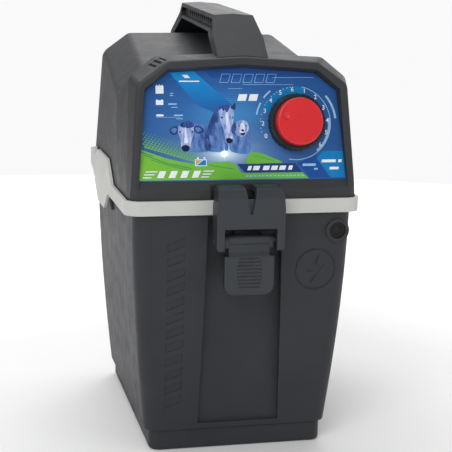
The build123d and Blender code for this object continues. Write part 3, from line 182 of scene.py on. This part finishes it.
def metal(name, colour, rough=0.3, stretch=(1, 1, 1), scale=900.0):
    n = Nodes(name)
    brushed = n.noise(scale, 4.0, 0.6, stretch)
    base = n.mix(n.remap(n.noise(140.0, 4.0), 0.35, 0.7), shade(colour, 0.85), colour)
    n.set(Base_Color=base, Metallic=1.0, Roughness=n.remap(brushed, 0.3, 0.7, rough - 0.08, rough + 0.12))
    n.set(Normal=n.bump(brushed, 0.00002, 0.5, n.soft_edges(0.0003)))
    return n.material


def foam(name, colour):
    n = Nodes(name)
    cells = n.new("ShaderNodeTexVoronoi")
    cells.inputs["Scale"].default_value = 1400.0
    n.link(n.coords, cells.inputs["Vector"])
    base = n.mix(n.remap(cells.outputs["Distance"], 0.0, 0.6), shade(colour, 0.5), shade(colour, 1.6))
    n.set(Base_Color=base, Roughness=0.95, Normal=n.bump(cells.outputs["Distance"], 0.0003, 0.8))
    return n.material


# the lighter edge colours below are part wear and part painted sheen highlight on the edges
tub_plastic = moulding("charcoal_moulding", linear(48, 49, 53), 0.5, wear_and_sheen=linear(96, 97, 100), shine=0.25)
head_plastic = moulding("charcoal_head", linear(50, 51, 54), 0.46, edge=0.0012, wear_and_sheen=linear(104, 105,
                        107), shine=0.35)
latch_plastic = moulding("latch_moulding", linear(40, 44, 50), 0.44, grain=0.00004, edge=0.0015,
                         wear_and_sheen=linear(84, 88, 95))
band_plastic = moulding("grey_band", linear(190, 190, 186), 0.5, grain=0.00004, cloud=0.04, edge=0.0005)
black_plastic = moulding("black_moulding", linear(20, 20, 22), 0.38, grain=0.00003, edge=0.0004)
red_plastic = moulding("red_plastic", linear(205, 30, 36), 0.34, grain=0.00002, cloud=0.05, edge=0.0005)
green_plastic = moulding("green_plastic", linear(30, 130, 60), 0.36, grain=0.00002, cloud=0.05, edge=0.0004)
rubber = moulding("black_rubber", linear(26, 26, 27), 0.75, grain=0.0001, grain_scale=900.0)
seal = foam("seal_foam", linear(30, 30, 32))
steel = metal("steel", linear(190, 190, 188), 0.28)
aluminium = metal("aluminium", linear(200, 202, 205), 0.35, (1, 1, 12))
core_steel = metal("core_steel", linear(120, 122, 128), 0.42, (1, 30, 1), 400.0)


def board_material():
    """Solder mask over copper tracks, with tinned pads."""
    n = Nodes("board_green")
    tracks = n.new("ShaderNodeTexBrick")
    tracks.inputs["Scale"].default_value = 60.0
    tracks.inputs["Mortar Size"].default_value = 0.06
    tracks.inputs["Color1"].default_value = linear(14, 70, 38)
    tracks.inputs["Color2"].default_value = linear(18, 84, 44)
    tracks.inputs["Mortar"].default_value = linear(36, 112, 60)
    n.link(n.coords, tracks.inputs["Vector"])
    n.set(Base_Color=tracks.outputs[0], Roughness=0.32, Normal=n.bump(tracks.outputs["Fac"], 0.0001, 0.5))
    return n.material


def tape_material():
    n = Nodes("winding_tape")
    wave = n.new("ShaderNodeTexWave", bands_direction="Z")
    wave.inputs["Scale"].default_value = 60.0
    wave.inputs["Distortion"].default_value = 0.4
    n.link(n.coords, wave.inputs["Vector"])
    base = n.mix(wave.outputs[1], linear(176, 142, 52), linear(206, 172, 76))
    n.set(Base_Color=base, Roughness=0.4, Normal=n.bump(wave.outputs[1], 0.0001, 0.5))
    return n.material


def lens_material():
    n = Nodes("clear_lens")
    haze = n.remap(n.noise(700.0, 3.0), 0.3, 0.7, 0.06, 0.16)
    n.set(Base_Color=linear(214, 240, 252), Roughness=haze, Transmission_Weight=0.55, IOR=1.49)
    n.set(Emission_Color=linear(226, 246, 255), Emission_Strength=0.9)
    return n.material


GRID_SHIFT = 200.0  # keeps the places on the panel positive, in millimetres
STAR_X, STAR_V = -16.6, 22.2  # the bright star of the print, round the pulse light


def panel_position(n):
    """Sockets of the place on the panel: across and up, in millimetres."""
    split = n.new("ShaderNodeSeparateXYZ")
    n.link(n.coords, split.inputs[0])
    x, y, z = split.outputs
    across = n.math("MULTIPLY", x, 1000.0)
    from_y = n.math("MULTIPLY", n.math("SUBTRACT", y, PANEL_O.y), math.sin(TILT) * 1000)
    up = n.math("MULTIPLY_ADD", n.math("SUBTRACT", z, PANEL_O.z), math.cos(TILT) * 1000, from_y)
    return across, up


def glow(n, across, up, x, v, wide, high):
    """A soft round spot of light at (x, v): 1 in the middle and 0 far out."""
    dx = n.math("DIVIDE", n.math("SUBTRACT", across, x), wide)
    dv = n.math("DIVIDE", n.math("SUBTRACT", up, v), high)
    far = n.math("ADD", n.math("MULTIPLY", dx, dx), n.math("MULTIPLY", dv, dv))
    return n.math("DIVIDE", 1.0, n.math("ADD", 1.0, far))


def dots(n, across, up, pitch, size):
    """1 inside small square dots on a grid."""
    inside = []
    for place in (across, up):
        cell = n.math("FRACT", n.math("DIVIDE", n.math("ADD", place, GRID_SHIFT), pitch))
        off = n.math("ABSOLUTE", n.math("SUBTRACT", cell, 0.5))
        inside.append(n.math("LESS_THAN", off, size / 2))
    return n.math("MULTIPLY", *inside)


def print_finish(n, base):
    """Semi-gloss printed film with a faint texture."""
    film = n.bump(n.noise(1700.0, 2.0), 0.00001, 0.6)
    n.set(Base_Color=base, Roughness=n.remap(n.noise(80.0, 5.0), 0.3, 0.7, 0.34, 0.44), Normal=film)
    n.set(Specular_IOR_Level=0.22)


def panel_material():
    """Blue printed film: darker round the edge, a light glow low in the middle and a grid of dots."""
    n = Nodes("printed_panel")
    across, up = panel_position(n)
    base = n.mix(n.remap(up, 0.0, 92.0), linear(28, 86, 156), linear(24, 72, 142))
    base = n.mix(n.remap(across, 10.0, 85.0), base, linear(24, 76, 142))
    base = n.mix(n.math("MULTIPLY", glow(n, across, up, -16.0, 50.0, 34.0, 22.0), 0.55), base, linear(60,
                 146, 214))
    base = n.mix(n.math("MULTIPLY", glow(n, across, up, STAR_X, STAR_V, 12.0, 5.5), 1.0), base,
                 linear(220, 244, 255))
    field = n.math("MULTIPLY", n.remap(glow(n, across, up, -8.0, 58.0, 36.0, 17.0), 0.45, 0.9), 0.8)
    grid = n.math("MULTIPLY", dots(n, across, up, 1.7, 0.5), field)
    base = n.mix(n.math("MULTIPLY", grid, 0.6), base, linear(90, 190, 236))
    streak = n.remap(n.noise(30.0, 4.0, 0.6, (1, 1, 9)), 0.45, 0.7)
    base = n.mix(n.math("MULTIPLY", streak, 0.18), base, linear(30, 70, 150))
    print_finish(n, base)
    return n.material


def ink(name, colour, colour_b=None, ramp=None):
    """Printed ink. With colour_b it fades to that along ramp, a function of the place on the panel."""
    n = Nodes(name)
    base = n.mix(n.remap(n.noise(400.0, 3.0), 0.3, 0.7), shade(colour, 0.95), shade(colour, 1.04))
    if colour_b:
        across, up = panel_position(n)
        base = n.mix(ramp(n, across, up), base, colour_b)
    print_finish(n, base)
    return n.material


def coat_ink(name, dark, light, stretch=(1, 1, 1), scale=260.0):
    """Printed animal coat: streaks of two tones that fade into the blue towards the ground."""
    n = Nodes(name)
    across, up = panel_position(n)
    streaks = n.remap(n.noise(scale, 6.0, 0.62, stretch), 0.36, 0.64)
    base = n.mix(streaks, dark, light)
    base = n.mix(n.remap(up, 29.0, 23.0, 0.0, 0.75), base, linear(70, 130, 196))
    print_finish(n, base)
    return n.material


def assign(node, material):
    data = NODES[node].data
    data.materials.clear()
    data.materials.append(material)


FINISH = { tub_plastic: ("battery_tub",), head_plastic: ("head_shell", "head_plate", "carry_handle"),
                         latch_plastic: ("latch_lever", "latch_clasp"), band_plastic: ("rim_band",),
                         black_plastic: ("switch_body", "knob_skirt", "fence_bush", "earth_bush",
                         "thyristor"), red_plastic: ("knob_cap", "fence_knob"),
                         green_plastic: ("earth_knob", "terminal_block"), rubber: ("lead_port_plug",),
                         seal: ("rim_seal",), steel: ("hinge_pins", "lever_pin", "clasp_pin",
                         "plate_screws", "handle_screws", "board_screws", "switch_nut", "switch_shaft",
                         "fence_stud", "earth_stud"), aluminium: ("heat_sink",),
                         core_steel: ("transformer_core",), board_material(): ("circuit_board",),
                         tape_material(): ("transformer_winding",), moulding("capacitor_blue", linear(30,
                         74, 150), 0.3, grain=0.00001): ("storage_capacitor",),
                         lens_material(): ("pulse_light",), panel_material(): ("control_panel",), }
for material, names in FINISH.items():
    for node_name in names:
        assign(node_name, material)


# ------------------------------------------------------------------ geometry helpers
def spot(x, v, h):
    """The point at (x, v) on the panel, h above its face. All in millimetres; the result in metres."""
    return PANEL_O + Vector((x * MM, 0, 0)) + PANEL_V * (v * MM) + PANEL_N * (h * MM)


def add(name, bm, material, body):
    mesh = bpy.data.meshes.new(name)
    bm.to_mesh(mesh)
    bm.free()
    mesh.materials.append(material)
    piece = bpy.data.objects.new(name, mesh)
    bpy.context.scene.collection.objects.link(piece)
    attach(piece, body)
    return piece


def curved(points, steps=6, closed=True):
    """A smooth line through the points (Catmull-Rom)."""
    count = len(points)
    result = []
    for i in range(count if closed else count - 1):
        a, b, c, d = (points[(i + k) % count if closed else min(max(i + k, 0), count - 1)] for k in (-1,
                      0, 1, 2))
        for step in range(steps):
            t = step / steps
            result.append(tuple(
                0.5 * (2 * b[k] + (c[k] - a[k]) * t + (2 * a[k] - 5 * b[k] + 4 * c[k] - d[k]) * t ** 2
                       + (3 * b[k] - a[k] - 3 * c[k] + d[k]) * t ** 3) for k in (0, 1)))
    return result if closed else result + [points[-1]]


def arc(cx, cv, r, start, end, steps):
    return [(cx + r * math.cos(math.radians(start + (end - start) * k / steps)),
             cv + r * math.sin(math.radians(start + (end - start) * k / steps))) for k in range(steps + 1)]


def arc_band(cx, cv, r0, r1, start, end, steps=48):
    return arc(cx, cv, r1, start, end, steps) + arc(cx, cv, r0, end, start, steps)


def stroke(points, width):
    """An open line thickened to a band, as a closed outline."""
    left, right = [], []
    for i, (x, v) in enumerate(points):
        x0, v0 = points[max(i - 1, 0)]
        x1, v1 = points[min(i + 1, len(points) - 1)]
        length = math.hypot(x1 - x0, v1 - v0) or 1.0
        nx, nv = -(v1 - v0) / length * width / 2, (x1 - x0) / length * width / 2
        left.append((x + nx, v + nv))
        right.append((x - nx, v - nv))
    return left + right[::-1]


def slanted(x, v, width, height, lean=0.45):
    return [(x, v), (x + width, v), (x + width + height * lean, v + height),
            (x + height * lean, v + height)]


INK_STEP = 0.05  # height of each printed layer over the one below, in millimetres


def printed(name, outlines, layer, material):
    """Flat printed shapes on the panel, as one piece."""
    bm = bmesh.new()
    for outline in outlines:
        corners = [Vector((x, v, 0)) for x, v in outline]
        made = [bm.verts.new(spot(x, v, layer * INK_STEP)) for x, v in outline]
        for triangle in tessellate_polygon([corners]):
            a, b, c = (made[i] for i in triangle)
            face = bm.faces.new((a, b, c))
            face.normal_update()
            if face.normal.dot(PANEL_N) < 0:
                face.normal_flip()
    return add(name, bm, material, "head")


# ------------------------------------------------------------------ printed artwork of the panel
def fade_down(n, across, up):
    return n.remap(up, 60.0, 88.0, 1.0, 0.0)


def fade_right(n, across, up):
    return n.remap(across, -80.0, -5.0, 0.0, 1.0)


INKS = {
    "cyan": ink("ink_cyan", linear(16, 142, 214), linear(28, 100, 170), fade_down),
    "cyan_plain": ink("ink_cyan_plain", linear(10, 126, 190)),
    "deep": ink("ink_deep", linear(26, 78, 152)),
    "navy": ink("ink_navy", linear(30, 60, 122)),
    "green": ink("ink_green", linear(122, 190, 62), linear(108, 182, 66), fade_right),
    "leaf": ink("ink_leaf", linear(66, 150, 96)),
    "white": ink("ink_white", linear(236, 241, 246)),
    "pale": ink("ink_pale", linear(150, 196, 232)),
    "mist": coat_ink("ink_mist", linear(52, 84, 152), linear(112, 148, 210), (1, 1, 0.35)),
    "shadow": coat_ink("ink_shadow", linear(26, 48, 104), linear(60, 92, 160), (1, 1, 0.25)),
    "dusk": ink("ink_dusk", linear(20, 32, 70)),
    "fur": coat_ink("ink_fur", linear(104, 132, 196), linear(190, 204, 240), (1.6, 1, 0.5)),
    "light": coat_ink("ink_light", linear(176, 194, 236), linear(236, 242, 254), (1.5, 1, 0.5)),
    "sand": ink("ink_sand", linear(190, 172, 140)),
}

# broad fields
printed("print_band", [[(-60.5, 88.6), (-40.5, 89.9), (-7.0, 61.0), (-14.0, 52.0), (-38.0, 62.0)]], 1,
        INKS["cyan"])
printed("print_top_tint", [[(-31.0, 90.6), (0.0, 92.6), (62.0, 88.6), (66.0, 85.4), (-26.0, 84.6)]], 1,
        INKS["deep"])
halo = arc_band(*KNOB_AT, 24.5, 30.6, 72, 158, 40)
printed("print_halo", [halo], 1, INKS["cyan_plain"])

# ground: a bright lower field, broken up by slanting hatches
ground = [(-86.4, 26.5), (-78, 23.4), (-66, 19.2), (-55, 16.4), (-44, 14.4), (-34, 13.6), (-26, 15.5),
          (-12, 15.6), (-8.2, 13.9), (-2.0, 6.2), (0.2, 6.0), (50.2, 6.0), (55.4, 1.0), (-88.0, 1.0)]
printed("print_ground", [ground], 1, INKS["green"])
hill = curved([(2.0, 14.0), (6, 22.6), (14, 22.4), (24, 18.6), (33, 14.4), (20, 14.0)], 5)
printed("print_hill", [hill], 2, INKS["green"])
GREEN_LEFT = -86.0
HATCH_ROWS, HATCH_COLUMNS = 7, 19
HATCH_STEP, HATCH_RISE = 2.6, 2.1  # across and up
hatches = []
for row in range(HATCH_ROWS):
    size = 1.7 - 0.19 * row
    for column in range(HATCH_COLUMNS):
        x = GREEN_LEFT + 1.0 + column * HATCH_STEP + (row % 2) * 1.1
        fall = (0.30 + 0.004 * row) * (x - GREEN_LEFT)
        v = 28.5 + row * HATCH_RISE - fall
        if GREEN_LEFT + 2.0 < x < -38.0 and v > 15.0:
            hatches.append(slanted(x, v, size * 1.05, size, -0.5))
printed("print_hatches", hatches, 2, INKS["green"])
furrows = [
    stroke([(-84, 22), (-64, 14.6), (-44, 10.2)], 0.8),
    stroke([(-78, 17.8), (-60, 12.2), (-46, 9.0)], 0.55),
    stroke([(-30, 13.0), (-16, 10.6), (-9, 9.6)], 0.6),
    stroke([(8, 20.4), (18, 18.2), (26, 15.6)], 0.5),
    stroke([(-86.6, 24.6), (-76, 20.6)], 0.9),
]
printed("print_furrows", furrows, 3, INKS["leaf"])

# field with the rating, now plain bars
printed("print_field", [[(-6.2, 13.6), (44.0, 13.6), (49.6, 6.4), (0.6, 6.4)]], 3, INKS["navy"])
printed("print_field_right", [[(45.6, 13.6), (62.0, 20.0), (78.0, 1.4), (57.0, 1.4)]], 1, INKS["deep"])
printed("print_wedge", [[(67.6, 23.6), (85.6, 23.6), (87.2, 1.4), (74.4, 1.4), (62.6, 17.6)]], 2,
        INKS["cyan_plain"])


# animals: plain shapes of a cow, a horse and a dog, in a few tones
horse_neck = curved([(-21.6, 59.0), (-25.6, 53), (-29.0, 46), (-31.6, 39), (-33.0, 31), (-31, 24.6),
                    (-15, 24.0), (-13.6, 30), (-16.6, 38), (-18, 48)], 4)
cow_body = curved([(-43, 46.5), (-37.5, 47.2), (-32.6, 45.6), (-29.6, 40), (-28.4, 33), (-29, 24.6),
                  (-44.6, 24.2), (-45, 31), (-41.5, 40)], 4)
dog_body = curved([(-9, 40), (-11.5, 33), (-11.6, 25), (-5, 22.4), (3.0, 22.0), (5.8, 26), (6.0, 34),
                  (4.8, 41)], 4)
printed("print_bodies", [horse_neck, cow_body, dog_body], 2, INKS["mist"])
mane = curved([(-20.6, 61.4), (-24.0, 57.4), (-26.9, 51.4), (-29.6, 45.0), (-32.4, 38.4), (-33.2, 32.2),
              (-30.8, 35.0), (-29.4, 33.0), (-28.4, 38.0), (-26.4, 36.6), (-26.0, 42.6), (-23.8, 41.4),
              (-23.6, 47.6), (-21.4, 48.0), (-20.6, 54.0), (-19.2, 58.8)], 3)
forelock = curved([(-18.0, 61.2), (-14.6, 62.6), (-10.8, 61.4), (-12.2, 58.0), (-13.6, 55.0),
                  (-15.0, 58.4), (-16.6, 57.2)], 3)
cow_crown = curved([(-53.0, 45.0), (-50.6, 48.6), (-46.4, 49.0), (-42.6, 47.8), (-41.6, 44.6),
                   (-47, 43.4)], 4)
cow_head = curved([(-54.2, 45.0), (-50, 47.4), (-44.5, 47.4), (-41.2, 45.0), (-41.2, 41), (-42.8, 36),
                  (-44.2, 31.4), (-45.2, 27), (-46.4, 24.6), (-49, 23.8), (-51.6, 24.8), (-52.6, 28),
                  (-52.8, 32), (-53.8, 36.6), (-55.2, 41.4)], 4)
horse_head = curved([(-20.2, 58.6), (-17.0, 61.2), (-11.4, 61.6), (-8.2, 59.4), (-7.6, 54), (-8.4, 48.6),
                    (-9.2, 42.6), (-8.6, 37.4), (-8.2, 34.0), (-9.6, 31.2), (-12.2, 30.2), (-14.8, 31.4),
                    (-15.6, 35), (-16.4, 40.6), (-18.6, 47.4), (-20.2, 53.4)], 4)
dog_head = curved([(-7.2, 46.2), (-4.4, 49.0), (0.2, 49.8), (3.8, 47.6), (4.8, 43.6), (3.4, 39.6),
                  (0.4, 36.6), (-2.8, 36.0), (-5.8, 38.2), (-7.4, 42.0)], 4)
printed("print_mane", [mane], 3, INKS["shadow"])
printed("print_heads", [cow_head, horse_head, dog_head], 4, INKS["fur"])
ears = [
    curved([(-54.6, 43.8), (-57.6, 45.0), (-61.4, 42.8), (-61.6, 40.0), (-58.6, 37.8), (-55.4, 39.4)], 4),
    curved([(-41.4, 44.6), (-37.8, 45.4), (-33.8, 42.8), (-34.0, 39.8), (-37.8, 38.8), (-41.2, 40.6)], 4),
    curved([(-21.4, 57.6), (-21.8, 60.4), (-21.0, 63.4), (-19.0, 61.4), (-17.8, 59.6)], 3),
    curved([(-10.6, 60.2), (-8.6, 62.0), (-6.6, 64.4), (-6.0, 61.4), (-7.0, 58.0)], 3),
    curved([(-6.8, 47.4), (-9.6, 45.4), (-10.2, 41.0), (-8.6, 37.8), (-6.6, 40.4), (-6.0, 44.0)], 4),
]
printed("print_ears", ears + [forelock, cow_crown], 5, INKS["shadow"])
ear_lights = [curved([(-55.6, 42.6), (-58.0, 43.6), (-60.4, 42.2), (-60.2, 40.4), (-58.0, 39.2)], 3),
              curved([(-40.4, 43.4), (-37.8, 44.0), (-35.2, 42.0), (-36.2, 40.6), (-39.0, 40.6)], 3)]
printed("print_ear_lights", ear_lights, 6, INKS["mist"])
lights = [
    curved([(-49.4, 43.4), (-47.8, 43.2), (-47.6, 37), (-46.8, 31.6), (-50.2, 31.4), (-49.4, 37)], 4),
    curved([(-14.8, 55.0), (-12.8, 56.4), (-11.8, 50), (-11.0, 43), (-12.4, 38.6), (-13.8, 43),
        (-14.6, 50)], 4),
    curved([(-2.0, 46.8), (0.2, 47.2), (1.4, 43.4), (1.2, 40.4), (-1.0, 38.4), (-3.4, 40.0),
        (-2.6, 43.4)], 4),
    curved([(-11.0, 33.6), (-9.6, 34.0), (-9.2, 36.4), (-10.6, 37.0)], 3),
]
printed("print_lights", lights, 6, INKS["light"])
darks = [
    curved([(-52.0, 28.4), (-49, 29.6), (-46.0, 28.6), (-45.6, 26.4), (-47.2, 24.4), (-50.4, 24.4),
        (-52.0, 26.0)], 4),
    curved([(-14.9, 34.2), (-12.4, 35.0), (-9.4, 34.0), (-9.2, 32.4), (-10.6, 30.8), (-13.6, 30.8)], 4),
    curved([(-43.8, 40.4), (-42.8, 41.0), (-41.9, 40.4), (-42.8, 39.7)], 3),
    curved([(-54.2, 40.4), (-53.2, 41.0), (-52.3, 40.4), (-53.2, 39.7)], 3),
    curved([(-18.9, 52.0), (-17.9, 52.8), (-17.0, 51.8), (-17.9, 51.1)], 3),
    curved([(-9.4, 52.0), (-8.7, 52.6), (-8.1, 51.8), (-8.8, 51.2)], 3),
    arc(-3.6, 45.0, 0.6, 0, 330, 9),
    arc(2.4, 45.0, 0.6, 0, 330, 9),
    curved([(-2.0, 41.6), (-0.4, 42.2), (0.9, 41.4), (-0.5, 40.2)], 3),
    curved([(-3.0, 38.6), (-0.4, 39.2), (1.6, 38.8), (-0.4, 37.0)], 3),
]
printed("print_darks", darks, 7, INKS["dusk"])


def rays(x, v, long, short, count):
    """A star of thin tapering rays round a point."""
    points = []
    for step in range(2 * count):
        reach = 0.9 if step % 2 else (long if step % 4 == 0 else short)
        angle = math.pi * step / count
        points.append((x + reach * math.cos(angle), v + reach * math.sin(angle)))
    return points


printed("print_star", [rays(STAR_X, STAR_V, 7.4, 4.2, 8)], 6, INKS["white"])

# battery sizes, solar panel and thin rules
icons = [
    [(-72.6, 71.6), (-66.0, 71.6), (-66.0, 77.6), (-67.0, 79.0), (-68.2, 77.8), (-69.2, 79.2),
        (-70.4, 77.8), (-71.4, 79.0), (-72.6, 77.6)],
    [(-72.6, 62.4), (-66.4, 62.4), (-66.4, 66.2), (-67.4, 67.0), (-68.6, 66.2), (-70.4, 66.2),
        (-71.6, 67.0), (-72.6, 66.2)],
    curved([(-72.8, 53.8), (-71.6, 54.7), (-67.4, 54.7), (-66.2, 53.8), (-67.4, 53.1), (-71.6, 53.1)], 3),
]
small_bars = [
    slanted(-60.6, 71.6, 2.6, 0.6, 0.2),
    slanted(-60.8, 69.8, 2.8, 0.7, 0.2),
    slanted(-62.4, 62.6, 7.0, 1.1, 0.2),
    slanted(-60.0, 60.2, 5.2, 0.6, 0.2),
    slanted(-58.0, 53.4, 7.6, 1.1, 0.2),
    slanted(-56.0, 50.8, 5.6, 0.6, 0.2),
    [(-72.6, 52.2), (-52.4, 52.2), (-52.4, 52.5), (-72.6, 52.5)],
    [(0.0, 75.6), (-12.0, 75.6), (-12.0, 75.9), (0.0, 75.9)],
    [(26, 84.8), (62, 85.1), (62, 85.4), (26, 85.1)],
    [(0, 79.0), (44, 79.0), (44, 79.3), (0, 79.3)],
]
printed("print_small_bars", small_bars, 2, INKS["pale"])
# short plain bars where the lettering is
title = []
for step in range(5):
    mark = slanted(-19.0 + step * 9.8, 80.8, 7.2, 7.0, 0.3)
    title.append(stroke(mark + mark[:1], 0.4))
printed("print_title", title, 3, INKS["pale"])
bars = ((2.4, 3.0), (7.0, 5.4), (15.4, 5.4), (22.4, 5.4), (29.4, 5.4), (37.2, 3.4))
rating = [slanted(x, 8.2, width, 3.6, 0.35) for x, width in bars]
# the maker's place: four blocks between two fans of thin bars
maker = [slanted(-82.6, 7.6, 10.0, 0.9), slanted(-84.0, 5.2, 8.6, 0.9), slanted(-85.0, 2.8, 7.0, 0.9)]
maker += [slanted(-73.4 + step * 9.6, 2.8, 5.6, 5.7) for step in range(4)]
maker += [slanted(-34.6, 7.6, 8.6, 0.9), slanted(-35.6, 5.2, 7.4, 0.9), slanted(-36.6, 2.8, 6.4, 0.9)]
level = [slanted(-4.6, 65.6, 7.2, 5.6, 0.3), slanted(4.8, 65.6, 7.2, 5.6, 0.3)]
wedge_bars = [
    slanted(66.6, 14.0, 12.4, 2.4, 0.2),
    slanted(73.4, 8.0, 8.0, 2.2, 0.2),
    slanted(81.2, 14.0, 3.0, 2.4, 0.2),
]
pennant = [slanted(-48.2, 84.4, 4.6, 2.6, -0.9), slanted(-53.0, 81.2, 16.8, 1.0, 0.1)]
printed("print_white", icons + rating + maker + level + wedge_bars + pennant, 8, INKS["white"])
fine = [slanted(1.0 + step * 3.4, 3.0, 2.4, 1.0, 0.3) for step in range(15)]
fine += [slanted(50.0, 11.2, 11.4, 2.0, 0.2), slanted(60.0, 8.0, 3.2, 1.4, 0.2)]
printed("print_fine", fine, 3, INKS["pale"])
sun = [[(-41.4, 12.2), (-31.6, 12.2), (-31.6, 17.8), (-41.4, 17.8)]]
printed("print_solar_frame", sun + [arc(-38.8, 18.8, 0.8, 0, 330, 11), arc(-33.4, 18.8, 0.8, 0, 330, 11)],
        4, INKS["white"])
printed("print_solar_sand", [[(-40.8, 12.8), (-40.8, 17.2), (-35.0, 17.2)]], 5, INKS["sand"])
printed("print_solar_cell", [[(-40.0, 12.8), (-32.2, 12.8), (-32.2, 17.2), (-34.2, 17.2)]], 5,
        INKS["cyan_plain"])

# dial: arcs, dots and numbers
dial = [arc_band(*KNOB_AT, 30.4, 31.0, -102, 78, 90), arc_band(*KNOB_AT, 28.6, 30.4, -52, 8, 30),
        arc_band(*KNOB_AT, 34.4, 36.2, 6, 40, 20), arc_band(*KNOB_AT, 33.2, 34.6, 150, 168, 12),
        arc_band(*KNOB_AT, 33.2, 34.6, 128, 142, 12)]
printed("print_dial", dial, 3, INKS["pale"])


def round_knob(radius, degrees):
    """The point on the panel at an angle round the knob's centre."""
    angle = math.radians(degrees)
    return KNOB_AT[0] + radius * math.cos(angle), KNOB_AT[1] + radius * math.sin(angle)


MARK_RING = 29.9
MARK_ANGLES = (97, 102, 109, 114, 121, 126, 132, 145, 150, 166, 173, 177, 188, 194)
marks = [arc(*round_knob(MARK_RING, degrees), 0.35, 0, 300, 5) for degrees in MARK_ANGLES]
printed("print_marks", marks, 4, INKS["white"])


DIGIT_RING = 27.9
DIGIT_SIZE = 5.2
DIGITS = ((203, "0"), (181, "2"), (159, "3"), (138, "4"), (116, "5"), (94, "6"),
          (72, "1"), (50, "2"), (27, "3"), (4, "4"), (-17, "5"), (-41, "6"))


def digit_mesh(text):
    """A flat mesh of one digit, centred on its origin, in millimetres."""
    font = bpy.data.curves.new("number", "FONT")
    font.body = text
    font.size = DIGIT_SIZE
    font.align_x = "CENTER"
    font.align_y = "CENTER"
    font.offset = 0.06
    holder = bpy.data.objects.new("number", font)
    bpy.context.scene.collection.objects.link(holder)
    bpy.context.view_layer.update()
    mesh = bpy.data.meshes.new_from_object(holder.evaluated_get(bpy.context.evaluated_depsgraph_get()))
    bpy.data.objects.remove(holder)
    bpy.data.curves.remove(font)
    return mesh


def dial_numbers():
    """Numbers round the knob, upright, as one flat mesh."""
    bm = bmesh.new()
    for angle, text in DIGITS:
        mesh = digit_mesh(text)
        cx, cv = round_knob(DIGIT_RING, angle)
        start = len(bm.verts)
        bm.from_mesh(mesh)
        bm.verts.ensure_lookup_table()
        for vertex in bm.verts[start:]:
            vertex.co = spot(cx + vertex.co.x, cv + vertex.co.y, 8 * INK_STEP)
        bpy.data.meshes.remove(mesh)
    return add("dial_numbers", bm, INKS["white"], "head")


dial_numbers()


# ------------------------------------------------------------------ floor, light and camera
FLOOR_RADIUS = 1.5
FLOOR_DROP = 0.0004  # floor below the feet, so that the two faces never coincide
CAMERA_AT = Vector((-0.2368, -1.0682, 0.3829))
CAMERA_YAW, CAMERA_PITCH, CAMERA_ROLL = 0.2292, 0.1891, 0.0189  # radians, from looking along +Y
CAMERA_LENS = 95.5


def stage_floor():
    bm = bmesh.new()
    bmesh.ops.create_circle(bm, cap_ends=True, segments=96, radius=FLOOR_RADIUS)
    mesh = bpy.data.meshes.new("floor")
    bm.to_mesh(mesh)
    bm.free()
    n = Nodes("floor")
    far = n.new("ShaderNodeVectorMath", operation="LENGTH")
    n.link(n.coords, far.inputs[0])
    tone = n.mix(n.remap(n.noise(3.0), 0.3, 0.7), linear(246, 246, 246), linear(250, 250, 250))
    n.set(Base_Color=tone, Roughness=0.9, Emission_Color=(1, 1, 1, 1))
    n.set(Emission_Strength=n.remap(far.outputs["Value"], 0.3, 1.4, 0.0, 0.62))
    mesh.materials.append(n.material)
    floor = bpy.data.objects.new("floor", mesh)
    floor.location = (0, 0, -FLOOR_DROP)
    bpy.context.scene.collection.objects.link(floor)


def area_light(name, place, target, size, power, colour=(1, 1, 1)):
    light = bpy.data.lights.new(name, "AREA")
    light.shape = "RECTANGLE"
    light.size, light.size_y = size
    light.energy = power
    light.color = colour
    lamp = bpy.data.objects.new(name, light)
    lamp.location = place
    lamp.rotation_euler = (Vector(target) - Vector(place)).to_track_quat("-Z", "Y").to_euler()
    bpy.context.scene.collection.objects.link(lamp)


def world_light(strength, seen):
    """An even white surround: strength is its light, and seen is how bright it looks behind the object."""
    world = bpy.data.worlds.new("studio")
    world.use_nodes = True
    tree = world.node_tree
    background = tree.nodes["Background"]
    path = tree.nodes.new("ShaderNodeLightPath")
    level = tree.nodes.new("ShaderNodeMapRange")
    level.inputs["To Min"].default_value = strength
    level.inputs["To Max"].default_value = seen
    tree.links.new(path.outputs["Is Camera Ray"], level.inputs[0])
    tree.links.new(level.outputs[0], background.inputs[1])
    background.inputs[0].default_value = (1, 1, 1, 1)
    bpy.context.scene.world = world


def set_camera():
    level = Vector((math.sin(CAMERA_YAW), math.cos(CAMERA_YAW), 0))
    forward = level * math.cos(CAMERA_PITCH) - Vector((0, 0, math.sin(CAMERA_PITCH)))
    right = Vector((math.cos(CAMERA_YAW), -math.sin(CAMERA_YAW), 0))
    up = right.cross(forward)
    rolled_right = right * math.cos(CAMERA_ROLL) + up * math.sin(CAMERA_ROLL)
    rolled_up = up * math.cos(CAMERA_ROLL) - right * math.sin(CAMERA_ROLL)
    data = bpy.data.cameras.new("camera")
    data.lens = CAMERA_LENS
    data.sensor_width = 36.0
    data.clip_start, data.clip_end = 0.05, 50.0
    camera = bpy.data.objects.new("camera", data)
    turn = Matrix((rolled_right, rolled_up, -forward)).transposed().to_4x4()
    camera.matrix_world = Matrix.Translation(CAMERA_AT) @ turn
    bpy.context.scene.collection.objects.link(camera)
    bpy.context.scene.camera = camera


stage_floor()
world_light(0.4, 0.95)
area_light("key", (-0.9, -1.6, 1.6), (0, 0, 0.2), (1.3, 1.3), 19.5)
area_light("side", (-1.7, 0.1, 0.9), (0, 0, 0.2), (1.0, 1.4), 1.2)
area_light("fill", (1.6, -1.4, 0.9), (0, 0, 0.2), (1.6, 1.2), 4.0)
area_light("top", (-0.1, 0.7, 1.7), (0, 0, 0.25), (1.8, 1.4), 18.0)
area_light("back", (0.9, 1.9, 0.8), (0, 0, 0.25), (1.6, 1.0), 8.0)
set_camera()
bpy.context.scene.view_settings.view_transform = "Standard"
